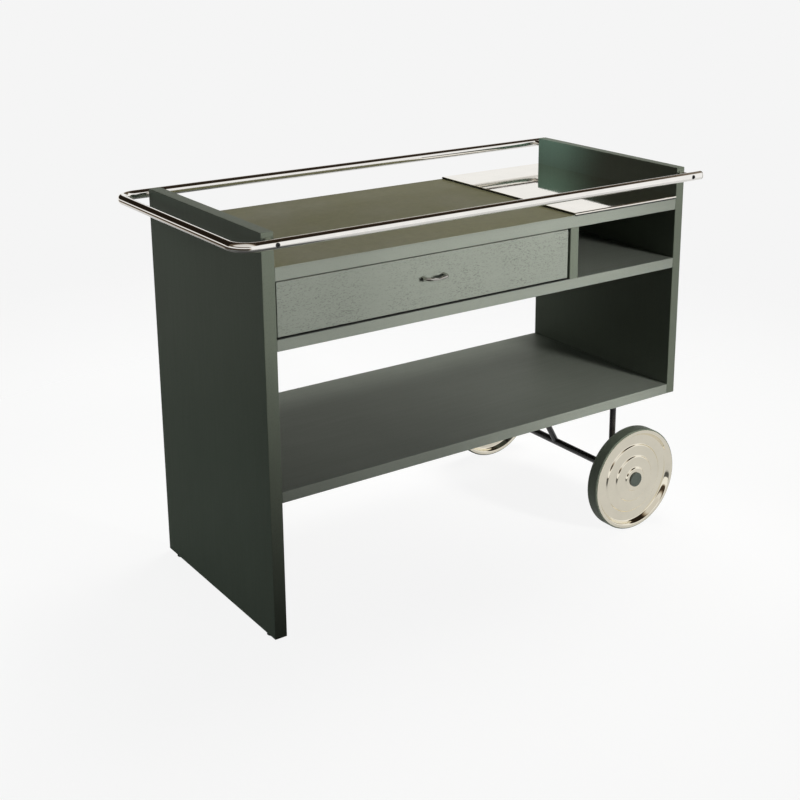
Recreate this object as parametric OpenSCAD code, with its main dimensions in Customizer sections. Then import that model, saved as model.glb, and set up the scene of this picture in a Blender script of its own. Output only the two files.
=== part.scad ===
// Bar trolley: a lacquered case on one tall end panel and two plated wheels.
// Millimetres. The origin lies on the floor under the middle of the whole trolley.
// +X runs from the tall panel to the wheels, and -Y is the front, where the drawer opens.

/* [Carcass] */
// Length over both end panels
body_l = 890; // [860:5:960]
// Depth of the panels and shelves
body_d = 400; // [360:5:440]
// Height of the panels' top edges above the floor
panel_top = 685; // [660:5:720]
// Thickness of the tall left panel
left_t = 22; // [19:0.5:26]
// Thickness of the short right panel
right_t = 19; // [17:0.5:22]
// Height of the lower shelf's underside, and of the right panel's lower edge
shelf_z = 241; // [230:1:250]
// Thickness of the two shelves and of the divider
board_t = 19; // [17:0.5:21]
// Thickness of the top board
top_t = 20; // [18:0.5:22]
// Thickness of the lining on the top board
lining_t = 2; // [1:0.5:3]
// Height of the panels' top edges above the lining
panel_rise = 56.5; // [50:0.5:62]
// Clear height between the middle shelf and the top board
case_h = 93.5; // [84:0.5:110]
// Clear width of the open niche at the right
niche_w = 238.5; // [200:0.5:260]
// Thickness of the back panel behind the drawer and the niche
back_t = 8; // [5:0.5:12]
// Length of the dowels in the board ends
dowel_l = 34; // [28:1:40]
// Diameter of the dowels in the board ends
dowel_d = 8; // [6:0.5:10]
// Depth of each dowel in the panel or board that it stands in
dowel_seat = 12; // [8:1:13]
// Distance of the outer dowels from the front and back edges
dowel_edge = 50; // [35:1:80]
// Height of the glides under the left panel
glide_h = 5; // [4:0.5:8]
// Diameter of the glides
glide_d = 18; // [14:1:19]
// Distance of each glide's centre from the front and back edges
glide_edge = 30; // [15:1:60]

/* [Drawer] */
// Gap beside and below the drawer
drawer_gap = 3; // [2:0.5:4]
// Gap above the drawer front
front_top_gap = 1.5; // [1:0.5:3]
// Setback of the drawer front behind the carcass edges
front_inset = 3; // [1:0.5:6]
// Thickness of the drawer front
front_t = 16; // [14:0.5:20]
// Thickness of the drawer sides and back
side_t = 12; // [11:0.5:15]
// Height of the drawer sides and back
side_h = 84; // [76:0.5:85]
// Thickness of the drawer bottom
bottom_t = 5; // [4:0.5:6]
// Depth of the grooves that hold the drawer bottom
bottom_seat = 4; // [2:0.5:4]
// Height of the drawer bottom above the lower edge of the sides
bottom_rise = 8; // [5:0.5:12]
// Free space between the drawer and the back panel
drawer_end_gap = 7; // [4:1:15]
// Travel of the drawer
drawer_travel = 300; // [240:5:310]
// Height of the runners
runner_h = 12; // [8:0.5:16]
// Reach of each runner into its groove
runner_grip = 7; // [5:0.5:7]
// Height of the runners' middle above the lower edge of the sides
runner_rise = 46; // [38:1:50]
// Diameter of the dowels at the drawer's corners
corner_dowel_d = 6; // [4:0.5:7]
// Width of the stop block
stop_w = 40; // [30:1:60]
// Depth of the stop block, front to back
stop_d = 12; // [10:1:20]
// Height of the stop block under the top board
stop_h = 12; // [10:0.5:16]
// Distance between the posts of the pull
pull_span = 42; // [36:1:64]
// Reach of the pull in front of the drawer
pull_reach = 20; // [18:0.5:28]
// Diameter of the pull's bar
pull_d = 6; // [5:0.5:7]
// Bend radius of the pull, to the middle of the bar
pull_bend = 10; // [8:0.5:11]
// Height of the pull above the middle of the drawer front
pull_rise = 6.5; // [0:0.5:12]

/* [Tray plate] */
// Height of the tray plate's top above the lining
tray_h = 4; // [3:0.5:8]
// Thickness of the tray plate's sheet
tray_t = 1; // [0.8:0.1:2]
// Drop of the front and back edges below the tray plate's top
tray_lip = 4.5; // [4:0.5:12]
// Outer radius of the rolled front and back edges
tray_roll = 3; // [2.2:0.1:4]
// Inset of the bars under the tray plate from its left and right edges
tray_bar_inset = 12; // [4:1:40]
// Thickness of the bars under the tray plate
tray_bar_t = 3; // [2:0.5:6]

/* [Rail] */
// Diameter of the rail's tube
rail_d = 16; // [14:0.5:18]
// Wall of the rail's tube
rail_wall = 1.5; // [1:0.1:2]
// Gap between the panels' edges and the tube
rail_gap = 17; // [12:0.5:24]
// Reach of the handle bend beyond the left panel
reach_l = 57; // [50:1:80]
// Reach of the free ends beyond the right panel
reach_r = 17; // [14:1:30]
// Bend radius of the rail, to the middle of the tube
rail_bend = 32; // [28:1:40]
// Depth of the rail's middle below the panels' top edges
rail_drop = 13.3; // [11:0.1:18]
// Diameter of the standoffs
standoff_d = 12; // [10:0.5:14]
// Diameter of the rail screws
screw_d = 5; // [4:0.5:6]
// Diameter of the rail screws' heads
head_d = 7.6; // [7:0.2:9]
// Depth of the rail screws in the panels
screw_grip = 30; // [20:1:40]
// Thickness of the end plugs' faces
plug_t = 3; // [2:0.5:5]

/* [Running gear] */
// Distance of the axle from the right panel's outer face
axle_inset = 125; // [108:1:160]
// Diameter of the axle between the wheels
axle_d = 14; // [12:0.5:18]
// Diameter of the axle's ends
stub_d = 10; // [8:0.5:11]
// Diameter of the struts and of the stay
strut_d = 12; // [10:0.5:14]
// Distance of each strut's middle from the front and back of the carcass
strut_edge = 36; // [28:1:80]
// Distance from the axle to the foot of the stay, along the shelf
stay_run = 77; // [60:1:120]
// Length and width of the foot plates
plate_w = 44; // [40:1:60]
// Thickness of the foot plates
plate_t = 3; // [2:0.5:4]
// Distance between the two screws of a foot plate
plate_screw_span = 30; // [28:1:34]
// Diameter of the small wood screws
wood_screw_d = 4; // [3:0.5:4.5]

/* [Wheels] */
// Diameter of the wheels
wheel_d = 200; // [180:2:216]
// Width of the wheels
wheel_w = 27; // [24:1:34]
// Gap between the carcass and the wheels
wheel_gap = 6; // [3:0.5:12]
// Height of the tyre's tread above the wheel discs' edges
tread_h = 2.5; // [1.5:0.5:4]
// Radial thickness of the tyre
tyre_t = 12; // [10:0.5:14]
// Radius of the tyre's shoulders
tyre_shoulder = 2; // [1:0.5:3.5]
// Thickness of the disc sheet
disc_t = 1.2; // [0.8:0.1:1.5]
// Width of the discs' flat edge
flange_w = 4.5; // [3:0.5:6]
// Width of the curved wall inside the flat edge
cove_w = 8; // [7:0.5:10]
// Depth of the disc's plate below its edge
plate_depth = 9; // [8.5:0.5:9.5]
// Radii of the raised rings' steps
ring_rs = [23, 45, 67];
// Height of each ring step
ring_h = 2.8; // [2.4:0.1:2.8]
// Width of each ring step
ring_w = 4; // [3:0.5:6]
// Diameter of the hub cap
cap_d = 28; // [26:0.5:32]
// Height of the hub cap above the disc
cap_h = 2.4; // [2:0.1:2.8]
// Outer diameter of the bush
bush_d = 18; // [15:0.5:19]

/* [Hidden] */
$fn = 64;

// Colours
lacquer = [0.29, 0.32, 0.29];
lining_green = [0.44, 0.43, 0.33];
beech = [0.66, 0.58, 0.44];
plated = [0.80, 0.78, 0.74];
black_steel = [0.07, 0.07, 0.07];
rubber_green = [0.27, 0.30, 0.27];
steel = [0.55, 0.55, 0.54];
bronze = [0.62, 0.50, 0.30];

// Clearances
slip = 0.05;    // radial clearance of dowels, screws and shafts
bore_end = 0.5; // free space at the bottom of a blind bore
seat_gap = 0.3; // gap where a moving piece rests against a fixed one

// Places of the carcass
left_x = -(reach_l + body_l + reach_r) / 2 + reach_l;
right_x = left_x + body_l;
front_y = -body_d / 2;
inner_l = left_x + left_t;
inner_r = right_x - right_t;
lining_z = panel_top - panel_rise;
board_top_z = lining_z - lining_t;
case_top = board_top_z - top_t;
case_floor = case_top - case_h;
middle_z = case_floor - board_t;
divider_r = inner_r - niche_w;
divider_l = divider_r - board_t;
tray_l = divider_l + board_t / 2;
divider_d = body_d - back_t;
dowel_ys = [front_y + dowel_edge, 0, -front_y - dowel_edge];
divider_dowel_ys = [front_y + dowel_edge, -front_y - back_t - dowel_edge];
board_mids = [shelf_z + board_t / 2, middle_z + board_t / 2, case_top + top_t / 2];
glide_ys = [front_y + glide_edge, -front_y - glide_edge];
nail_d = 3;
nail_l = 14;

// Places of the drawer
drawer_l = inner_l + drawer_gap;
drawer_r = divider_l - drawer_gap;
drawer_mid = (drawer_l + drawer_r) / 2;
front_face = front_y + front_inset;
front_back = front_face + front_t;
side_z = case_floor + drawer_gap;
front_h = case_top - front_top_gap - side_z;
drawer_end = front_y + divider_d - drawer_end_gap;
back_face = drawer_end - side_t;
box_l = drawer_l + side_t;
box_r = drawer_r - side_t;
bottom_z = side_z + bottom_rise;
groove_play = 0.1;
runner_z = side_z + runner_rise;
runner_play = 0.3;
runner_w = drawer_gap + runner_grip;
groove_end_play = 0.5;
groove_w = runner_grip + groove_end_play;
runner_y0 = front_back + seat_gap;
runner_end_gap = 2;
runner_y1 = front_y + divider_d - runner_end_gap;
runner_screw_edge = 40;
runner_screw_ys = [runner_y0 + runner_screw_edge, (runner_y0 + runner_y1) / 2,
    runner_y1 - runner_screw_edge];
runner_head_d = 7;
runner_head_h = 2.5;
runner_screw_bite = 12;
corner_dowel_l = 24;
corner_dowel_skin = 4;
corner_dowel_low = 22;
corner_dowel_high = 14;
corner_dowel_zs = [side_z + corner_dowel_low, side_z + side_h - corner_dowel_high];
stop_y1 = back_face - drawer_travel - seat_gap;
stop_screw_bite = 12;
pull_z = side_z + front_h / 2 + pull_rise;
pull_tip = front_face - pull_reach + pull_d / 2;
pull_screw_d = 3;
pull_head_h = 2;
pull_bite = 6;

// Places of the rail
rail_z = panel_top - rail_drop;
rail_r = rail_d / 2;
leg_y = front_y - rail_gap - rail_r;
bar_x = left_x - reach_l + rail_r;
rail_end = right_x + reach_r - plug_t;
post_xs = [left_x + left_t / 2, right_x - right_t / 2];
head_sink = 0.6;
head_h = 4;
head_play = 0.2;
socket_d = 0.6 * head_d;
plug_l = 14;

// Places of the running gear
axle_x = right_x - axle_inset;
axle_z = wheel_d / 2;
axle_r = axle_d / 2;
strut_y = -front_y - strut_edge;
plate_z = shelf_z - plate_t;
stay_x = axle_x - stay_run;
wheel_face = front_y - wheel_gap - wheel_w;
plate_screw_h = 2.2;
plate_screw_bite = 12;

// Radii and depths inside a wheel, where depth is counted from its outer face
wheel_r = wheel_d / 2;
disc_r = wheel_r - tread_h;
flange_r = disc_r - flange_w;
cove_r = flange_r - cove_w;
core_r = wheel_r - tyre_t;
web_depth = plate_depth + disc_t;
hub_depth = plate_depth - len(ring_rs) * ring_h;
boss_depth = hub_depth + disc_t;
boss_inset = 1;
boss_r = ring_rs[0] - ring_w / 2 - boss_inset;
cap_lap = 2;
disc_hole_r = cap_d / 2 - cap_lap;
cap_edge = 0.6;
cap_hollow = 1;
spigot_t = 1.9;
bush_start = 7;
washer_t = 1.2;
washer_gap = 0.3;
washer_d = 17;
washer_depth = bush_start - washer_gap - washer_t;
end_screw_d = 5;
end_head_d = 8;
end_head_h = 2.1;
end_bite = 14;
shoulder_gap = 0.5;
arc_step = 15;

// A box from one corner to the opposite one
module box(from, to) {
    translate(from) cube(to - from);
}

// A round bar along X, Y or Z, from one place to another
module bar_x(d, x0, x1, y, z) {
    translate([x0, y, z]) rotate([0, 90, 0]) cylinder(h = x1 - x0, d = d);
}

module bar_y(d, y0, y1, x, z) {
    translate([x, y1, z]) rotate([90, 0, 0]) cylinder(h = y1 - y0, d = d);
}

module bar_z(d, z0, z1, x, y) {
    translate([x, y, z0]) cylinder(h = z1 - z0, d = d);
}

// Bores for the dowels in one end of a board, at the face x
module end_bores(x, z) {
    for (y = dowel_ys)
        bar_x(dowel_d + 2 * slip, x - (dowel_l - dowel_seat) - 1, x + (dowel_l - dowel_seat) + 1, y, z);
}

// Bores for the dowels in a panel, from the face x to depth in direction dir
module panel_bores(x, dir) {
    deep = dowel_seat + bore_end;
    for (z = board_mids)
        for (y = dowel_ys)
            bar_x(dowel_d + 2 * slip, min(x, x + dir * deep), max(x, x + dir * deep), y, z);
}

// Bores for the rail's screws in a panel's front and back edges
module rail_bores(x) {
    for (s = [-1, 1])
        bar_y(screw_d + 2 * slip, min(s * -front_y, s * (-front_y - screw_grip - 1)),
            max(s * -front_y, s * (-front_y - screw_grip - 1)), x, rail_z);
}

module left_panel() {
    color(lacquer)
    difference() {
        box([left_x, front_y, glide_h], [inner_l, -front_y, panel_top]);
        panel_bores(inner_l, -1);
        rail_bores(post_xs[0]);
        for (y = runner_screw_ys)
            bar_x(wood_screw_d + 2 * slip, inner_l - runner_screw_bite - bore_end, inner_l, y, runner_z);
        for (y = glide_ys)
            bar_z(nail_d + 2 * slip, glide_h, glide_h + nail_l + bore_end, left_x + left_t / 2, y);
    }
}

module right_panel() {
    color(lacquer)
    difference() {
        box([inner_r, front_y, shelf_z], [right_x, -front_y, panel_top]);
        panel_bores(inner_r, 1);
        rail_bores(post_xs[1]);
    }
}

// A board between the end panels, with its dowel bores
module board(z, t) {
    difference() {
        box([inner_l, front_y, z], [inner_r, -front_y, z + t]);
        end_bores(inner_l, z + t / 2);
        end_bores(inner_r, z + t / 2);
    }
}

// Bores for the divider's dowels, on both sides of the face z
module divider_bores(z) {
    reach = dowel_l - dowel_seat + bore_end;
    below = z == case_floor ? dowel_seat + bore_end : reach;
    above = z == case_floor ? reach : dowel_seat + bore_end;
    for (y = divider_dowel_ys)
        bar_z(dowel_d + 2 * slip, z - below, z + above, divider_l + board_t / 2, y);
}

module top_board() {
    color(lacquer)
    difference() {
        board(case_top, top_t);
        divider_bores(case_top);
        bar_z(wood_screw_d + 2 * slip, case_top, case_top + stop_screw_bite + bore_end,
            drawer_mid, stop_y1 - stop_d / 2);
    }
}

module top_lining() {
    color(lining_green)
    box([inner_l, front_y, board_top_z], [tray_l, -front_y, lining_z]);
}

module middle_shelf() {
    color(lacquer)
    difference() {
        board(middle_z, board_t);
        divider_bores(case_floor);
    }
}

module lower_shelf() {
    color(lacquer)
    difference() {
        board(shelf_z, board_t);
        plate_screw_bores();
    }
}

module divider() {
    color(lacquer)
    difference() {
        box([divider_l, front_y, case_floor], [divider_r, front_y + divider_d, case_top]);
        divider_bores(case_floor);
        divider_bores(case_top);
        for (y = runner_screw_ys)
            bar_x(wood_screw_d + 2 * slip, divider_l, divider_l + runner_screw_bite + bore_end, y, runner_z);
    }
}

module back_panel() {
    color(lacquer)
    box([inner_l, front_y + divider_d, case_floor], [inner_r, -front_y, case_top]);
}

module carcass_dowels() {
    color(beech) {
        for (z = board_mids)
            for (y = dowel_ys) {
                bar_x(dowel_d, inner_l - dowel_seat, inner_l - dowel_seat + dowel_l, y, z);
                bar_x(dowel_d, inner_r + dowel_seat - dowel_l, inner_r + dowel_seat, y, z);
            }
        for (y = divider_dowel_ys) {
            bar_z(dowel_d, case_floor - dowel_seat, case_floor - dowel_seat + dowel_l,
                divider_l + board_t / 2, y);
            bar_z(dowel_d, case_top + dowel_seat - dowel_l, case_top + dowel_seat,
                divider_l + board_t / 2, y);
        }
    }
}

module panel_glides() {
    color(black_steel)
    for (y = glide_ys) {
        bar_z(glide_d, 0, glide_h, left_x + left_t / 2, y);
        bar_z(nail_d, glide_h, glide_h + nail_l, left_x + left_t / 2, y);
    }
}

// The groove for the drawer bottom, as one box a little larger than the bottom
module bottom_groove() {
    box([box_l - bottom_seat - groove_play, front_back - bottom_seat - groove_play, bottom_z],
        [box_r + bottom_seat + groove_play, back_face + bottom_seat + groove_play,
            bottom_z + bottom_t + 2 * groove_play]);
}

// Places of the dowels at the drawer's corners, as [x, z]
function corner_spots() = [
    for (x = [drawer_l + side_t / 2, drawer_r - side_t / 2])
        for (z = corner_dowel_zs) [x, z]
];

// The drawer's corner dowels: along Y behind the front, along X into the back
module corner_dowels(d, extra) {
    skin = corner_dowel_skin;
    for (spot = corner_spots())
        bar_y(d, front_back - corner_dowel_l / 2 - extra, front_back + corner_dowel_l / 2 + extra,
            spot[0], spot[1]);
    for (z = corner_dowel_zs) {
        bar_x(d, drawer_l + skin - extra, drawer_l + skin + corner_dowel_l + extra,
            back_face + side_t / 2, z);
        bar_x(d, drawer_r - skin - corner_dowel_l - extra, drawer_r - skin + extra,
            back_face + side_t / 2, z);
    }
}

module drawer_front() {
    color(lacquer)
    difference() {
        box([drawer_l, front_face, side_z], [drawer_r, front_back, side_z + front_h]);
        bottom_groove();
        corner_dowels(corner_dowel_d + 2 * slip, bore_end);
        for (s = [-1, 1])
            bar_y(pull_screw_d + 2 * slip, front_face - 1, front_back + 1,
                drawer_mid + s * pull_span / 2, pull_z);
    }
}

// One drawer side, from x0 to x1, with the runner's groove in its outer face at x_out
module drawer_side(x0, x1, x_out) {
    difference() {
        box([x0, front_back, side_z], [x1, drawer_end, side_z + side_h]);
        bottom_groove();
        corner_dowels(corner_dowel_d + 2 * slip, bore_end);
        box([x_out - groove_w, front_back, runner_z - runner_h / 2 - runner_play],
            [x_out + groove_w, drawer_end, runner_z + runner_h / 2 + runner_play]);
    }
}

module drawer_side_left() {
    color(beech)
    drawer_side(drawer_l, box_l, drawer_l);
}

module drawer_side_right() {
    color(beech)
    drawer_side(box_r, drawer_r, drawer_r);
}

module drawer_back() {
    color(beech)
    difference() {
        box([box_l, back_face, side_z], [box_r, drawer_end, side_z + side_h]);
        bottom_groove();
        corner_dowels(corner_dowel_d + 2 * slip, bore_end);
    }
}

module drawer_bottom() {
    color(beech)
    box([box_l - bottom_seat, front_back - bottom_seat, bottom_z + groove_play],
        [box_r + bottom_seat, back_face + bottom_seat, bottom_z + groove_play + bottom_t]);
}

module drawer_dowels() {
    color(beech)
    corner_dowels(corner_dowel_d, 0);
}

// A quarter bend in the XY plane, turning from +X to +Y about its middle
module quarter_bend(d, bend) {
    rotate_extrude(angle = 90)
        translate([bend, 0]) circle(d = d);
}

module drawer_pull() {
    half = pull_span / 2;
    color(plated)
    translate([drawer_mid, 0, pull_z])
    difference() {
        union() {
            bar_x(pull_d, -half + pull_bend, half - pull_bend, pull_tip, 0);
            for (s = [-1, 1])
                bar_y(pull_d, pull_tip + pull_bend, front_face, s * half, 0);
            translate([half - pull_bend, pull_tip + pull_bend, 0])
                rotate([0, 0, -90]) quarter_bend(pull_d, pull_bend);
            translate([-half + pull_bend, pull_tip + pull_bend, 0])
                rotate([0, 0, 180]) quarter_bend(pull_d, pull_bend);
        }
        for (s = [-1, 1])
            bar_y(pull_screw_d + 2 * slip, front_face - pull_bite - bore_end, front_face, s * half, 0);
    }
}

module pull_screws() {
    color(steel)
    for (s = [-1, 1]) {
        bar_y(pull_screw_d, front_face - pull_bite, front_back, drawer_mid + s * pull_span / 2,
            pull_z);
        bar_y(2 * pull_screw_d, front_back, front_back + pull_head_h,
            drawer_mid + s * pull_span / 2, pull_z);
    }
}

// A runner on the face x, reaching out in direction dir
module runner(x, dir) {
    color(beech)
    difference() {
        box([min(x, x + dir * runner_w), runner_y0, runner_z - runner_h / 2],
            [max(x, x + dir * runner_w), runner_y1, runner_z + runner_h / 2]);
        for (y = runner_screw_ys) {
            bar_x(wood_screw_d + 2 * slip, x - runner_w - 1, x + runner_w + 1, y, runner_z);
            bar_x(runner_head_d + 2 * slip, dir > 0 ? x + runner_w - runner_head_h : x - runner_w,
                dir > 0 ? x + runner_w : x - runner_w + runner_head_h, y, runner_z);
        }
    }
}

module runner_left() {
    runner(inner_l, 1);
}

module runner_right() {
    runner(divider_l, -1);
}

module runner_screws() {
    neck = runner_w - runner_head_h;
    color(steel)
    for (y = runner_screw_ys) {
        bar_x(wood_screw_d, inner_l - runner_screw_bite, inner_l + neck, y, runner_z);
        bar_x(runner_head_d, inner_l + neck, inner_l + runner_w, y, runner_z);
        bar_x(wood_screw_d, divider_l - neck, divider_l + runner_screw_bite, y, runner_z);
        bar_x(runner_head_d, divider_l - runner_w, divider_l - neck, y, runner_z);
    }
}

// The block under the top board that the drawer's back meets at full travel
module drawer_stop() {
    color(beech)
    difference() {
        box([drawer_mid - stop_w / 2, stop_y1 - stop_d, case_top - stop_h],
            [drawer_mid + stop_w / 2, stop_y1, case_top]);
        bar_z(wood_screw_d + 2 * slip, case_top - stop_h - 1, case_top, drawer_mid,
            stop_y1 - stop_d / 2);
    }
}

module stop_screw() {
    color(steel) {
        bar_z(wood_screw_d, case_top - stop_h, case_top + stop_screw_bite, drawer_mid,
            stop_y1 - stop_d / 2);
        bar_z(2 * wood_screw_d, case_top - stop_h - plate_screw_h, case_top - stop_h, drawer_mid,
            stop_y1 - stop_d / 2);
    }
}

// The tray plate's outer or inner outline across the trolley, with round upper edges
module tray_outline(half, top, low, r) {
    difference() {
        translate([-half, low]) square([2 * half, top - low]);
        for (s = [-1, 1])
            translate([s > 0 ? half - r : -half, top - r]) square(r);
    }
    for (s = [-1, 1])
        translate([s * (half - r), top - r]) circle(r = r);
}

module tray_plate() {
    top = lining_z + tray_h;
    half = -front_y + tray_t;
    color(plated) {
        translate([tray_l, 0, 0])
            rotate([90, 0, 90])
            linear_extrude(inner_r - tray_l)
            difference() {
                tray_outline(half, top, top - tray_lip, tray_roll);
                tray_outline(half - tray_t, top - tray_t, top - tray_lip - 1, tray_roll - tray_t);
            }
        for (x = [tray_l + tray_bar_inset, inner_r - tray_bar_inset - tray_bar_t])
            box([x, front_y, board_top_z], [x + tray_bar_t, -front_y, top - tray_t]);
    }
}

// The rail's path as a solid bar of diameter d
module rail_path(d) {
    corner_x = bar_x + rail_bend;
    corner_y = leg_y + rail_bend;
    for (s = [-1, 1])
        bar_x(d, corner_x, rail_end, s * leg_y, rail_z);
    bar_y(d, corner_y, -corner_y, bar_x, rail_z);
    translate([corner_x, corner_y, rail_z]) rotate([0, 0, 180]) quarter_bend(d, rail_bend);
    translate([corner_x, -corner_y, rail_z]) rotate([0, 0, 90]) quarter_bend(d, rail_bend);
}

module rail() {
    color(plated)
    difference() {
        rail_path(rail_d);
        rail_path(rail_d - 2 * rail_wall);
        for (x = post_xs) {
            for (s = [-1, 1])
                bar_y(screw_d + 2 * slip, s * leg_y - rail_d, s * leg_y + rail_d, x, rail_z);
            bar_y(head_d + 2 * head_play, leg_y - rail_d, leg_y, x, rail_z);
            bar_y(head_d + 2 * head_play, -leg_y, -leg_y + rail_d, x, rail_z);
        }
    }
}

module rail_standoffs() {
    color(plated)
    for (x = post_xs)
        for (s = [0, 1])
            mirror([0, s, 0])
            difference() {
                bar_y(standoff_d, leg_y, front_y, x, rail_z);
                bar_x(rail_d, x - standoff_d, x + standoff_d, leg_y, rail_z);
                bar_y(screw_d + 2 * slip, leg_y - 1, front_y + 1, x, rail_z);
            }
}

module rail_screws() {
    head_y = leg_y - rail_r + head_sink;
    color(steel)
    for (x = post_xs)
        for (s = [0, 1])
            mirror([0, s, 0])
            difference() {
                union() {
                    bar_y(head_d, head_y, head_y + head_h, x, rail_z);
                    bar_y(screw_d, head_y + head_h, front_y + screw_grip, x, rail_z);
                }
                translate([x, head_y + head_h / 2, rail_z])
                    rotate([90, 0, 0]) cylinder(h = head_h, d = socket_d, $fn = 6);
            }
}

module rail_plugs() {
    color(plated)
    for (s = [-1, 1]) {
        bar_x(rail_d - 2 * rail_wall - 2 * slip, rail_end - plug_l, rail_end, s * leg_y, rail_z);
        bar_x(rail_d, rail_end, rail_end + plug_t, s * leg_y, rail_z);
    }
}

// The axle, with its slimmer ends inside the wheels and a threaded bore in each end
module axle() {
    shoulder = wheel_face + wheel_w + shoulder_gap;
    stub = wheel_face + bush_start - washer_gap;
    color(black_steel)
    difference() {
        union() {
            bar_y(axle_d, shoulder, -shoulder, axle_x, axle_z);
            bar_y(stub_d, stub, -stub, axle_x, axle_z);
        }
        bar_y(end_screw_d + 2 * slip, stub - 1, stub + end_bite + bore_end, axle_x, axle_z);
        bar_y(end_screw_d + 2 * slip, -stub - end_bite - bore_end, -stub + 1, axle_x, axle_z);
    }
}

// A strut that stands on the axle at y
module strut(y) {
    color(black_steel)
    difference() {
        bar_z(strut_d, axle_z, plate_z, axle_x, y);
        bar_y(axle_d, y - strut_d, y + strut_d, axle_x, axle_z);
    }
}

module front_strut() {
    strut(-strut_y);
}

module rear_strut() {
    strut(strut_y);
}

// The slanting stay from the middle of the axle to its foot plate
module stay() {
    rise = plate_z - axle_z;
    long = sqrt(stay_run * stay_run + rise * rise) + strut_d;
    color(black_steel)
    difference() {
        translate([axle_x, 0, axle_z]) rotate([0, -atan2(stay_run, rise), 0])
            cylinder(h = long, d = strut_d);
        bar_y(axle_d, -strut_d, strut_d, axle_x, axle_z);
        box([stay_x - plate_w, -plate_w, plate_z], [stay_x + plate_w, plate_w, plate_z + 2 * plate_w]);
    }
}

// Middles of the three foot plates, as [x, y]
function plate_spots() = [[axle_x, -strut_y], [axle_x, strut_y], [stay_x, 0]];

module plate_screw_bores() {
    for (spot = plate_spots())
        for (s = [-1, 1])
            bar_z(wood_screw_d + 2 * slip, shelf_z - plate_t - 1, shelf_z + plate_screw_bite + bore_end,
                spot[0], spot[1] + s * plate_screw_span / 2);
}

module foot_plates() {
    color(black_steel)
    difference() {
        for (spot = plate_spots())
            box([spot[0] - plate_w / 2, spot[1] - plate_w / 2, plate_z],
                [spot[0] + plate_w / 2, spot[1] + plate_w / 2, shelf_z]);
        plate_screw_bores();
    }
}

module plate_screws() {
    color(black_steel)
    for (spot = plate_spots())
        for (s = [-1, 1]) {
            bar_z(wood_screw_d, plate_z, shelf_z + plate_screw_bite, spot[0],
                spot[1] + s * plate_screw_span / 2);
            bar_z(2 * wood_screw_d, plate_z - plate_screw_h, plate_z, spot[0],
                spot[1] + s * plate_screw_span / 2);
        }
}

// Carries a wheel piece to the front or the rear wheel. In the piece's own axes
// Z points out of the wheel and z = 0 is the wheel's outer face.
module at_front_wheel() {
    translate([axle_x, wheel_face, axle_z]) rotate([90, 0, 0]) children();
}

module at_rear_wheel() {
    mirror([0, 1, 0]) at_front_wheel() children();
}

// A smooth step from 0 to 1
function smooth(t) = t <= 0 ? 0 : t >= 1 ? 1 : (1 - cos(180 * t)) / 2;

// How far the rings have risen at radius r, adding up the steps from i on
function ring_rise(r, i = 0) = i == len(ring_rs) ? 0
    : ring_h * smooth((ring_rs[i] + ring_w / 2 - r) / ring_w) + ring_rise(r, i + 1);

// Depth of the disc's outer surface at radius r
function disc_depth(r) = plate_depth * (1 - smooth((r - cove_r) / cove_w)) - ring_rise(r);

// Radii at which the disc's section turns, from its hole to its edge
cove_steps = 10;
step_parts = 6;
cove_radii = [for (i = [0:cove_steps]) cove_r + cove_w * i / cove_steps];
disc_radii = concat(
    [disc_hole_r],
    [for (ring = ring_rs) for (i = [0:step_parts]) ring + ring_w * (i / step_parts - 0.5)],
    cove_radii,
    [disc_r]
);

// A list in the opposite order
function back_to_front(list) = [for (i = [len(list) - 1:-1:0]) list[i]];

// One pressed disc, with its outer face at z = 0
module disc() {
    color(plated)
    rotate_extrude()
        polygon(concat(
            [for (r = disc_radii) [r, -disc_depth(r)]],
            [for (r = back_to_front(disc_radii)) [r, -disc_depth(r) - disc_t]]
        ));
}

module disc_outer() {
    disc();
}

module disc_inner() {
    translate([0, 0, -wheel_w]) mirror([0, 0, 1]) disc();
}

// Points of one half of a section, and the same points on the wheel's other side
function both_halves(half) = concat(
    half,
    [for (p = back_to_front(half)) [p[0], -wheel_w - p[1]]]
);

// Points along the back of the cove, between two radii
function cove_back(r0, r1) = [
    for (r = concat([r0], [for (c = cove_radii) if (c > r0 && c < r1) c], [r1]))
        [r, -disc_depth(r) - disc_t]
];

// The core between the discs, with its boss, web and rim
module core() {
    color(black_steel)
    difference() {
        rotate_extrude()
            polygon(both_halves(concat(
                [[bush_d / 2 + slip, -boss_depth], [boss_r, -boss_depth], [boss_r, -web_depth]],
                cove_back(cove_r, core_r)
            )));
        translate([0, 0, -bush_start]) cylinder(h = bush_start, r = disc_hole_r);
    }
}

module tyre() {
    shoulder_r = wheel_r - tyre_shoulder;
    shoulder_z = disc_t + tyre_shoulder;
    color(rubber_green)
    rotate_extrude()
        polygon(both_halves(concat(
            cove_back(core_r, flange_r),
            [for (a = [0:arc_step:90])
                [shoulder_r + tyre_shoulder * sin(a), -shoulder_z + tyre_shoulder * cos(a)]]
        )));
}

module bush() {
    last = wheel_w + shoulder_gap - washer_gap;
    color(bronze)
    translate([0, 0, -last])
    difference() {
        cylinder(h = last - bush_start, d = bush_d);
        translate([0, 0, -1]) cylinder(h = last, d = stub_d + 2 * slip);
    }
}

// The hub cap: a flat button with a spigot that clips into the disc's hole
module hub_cap() {
    r = cap_d / 2;
    r_out = disc_hole_r - slip;
    z_face = -hub_depth + cap_h;
    spigot_end = -bush_start + cap_hollow;
    color(rubber_green)
    rotate_extrude()
        polygon([
            [0, z_face], [r - cap_edge, z_face], [r, z_face - cap_edge], [r, -hub_depth],
            [r_out, -hub_depth], [r_out, spigot_end], [r_out - spigot_t, spigot_end],
            [r_out - spigot_t, -hub_depth + cap_hollow], [0, -hub_depth + cap_hollow]
        ]);
}

module front_tyre() {
    at_front_wheel() tyre();
}

module front_core() {
    at_front_wheel() core();
}

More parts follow.
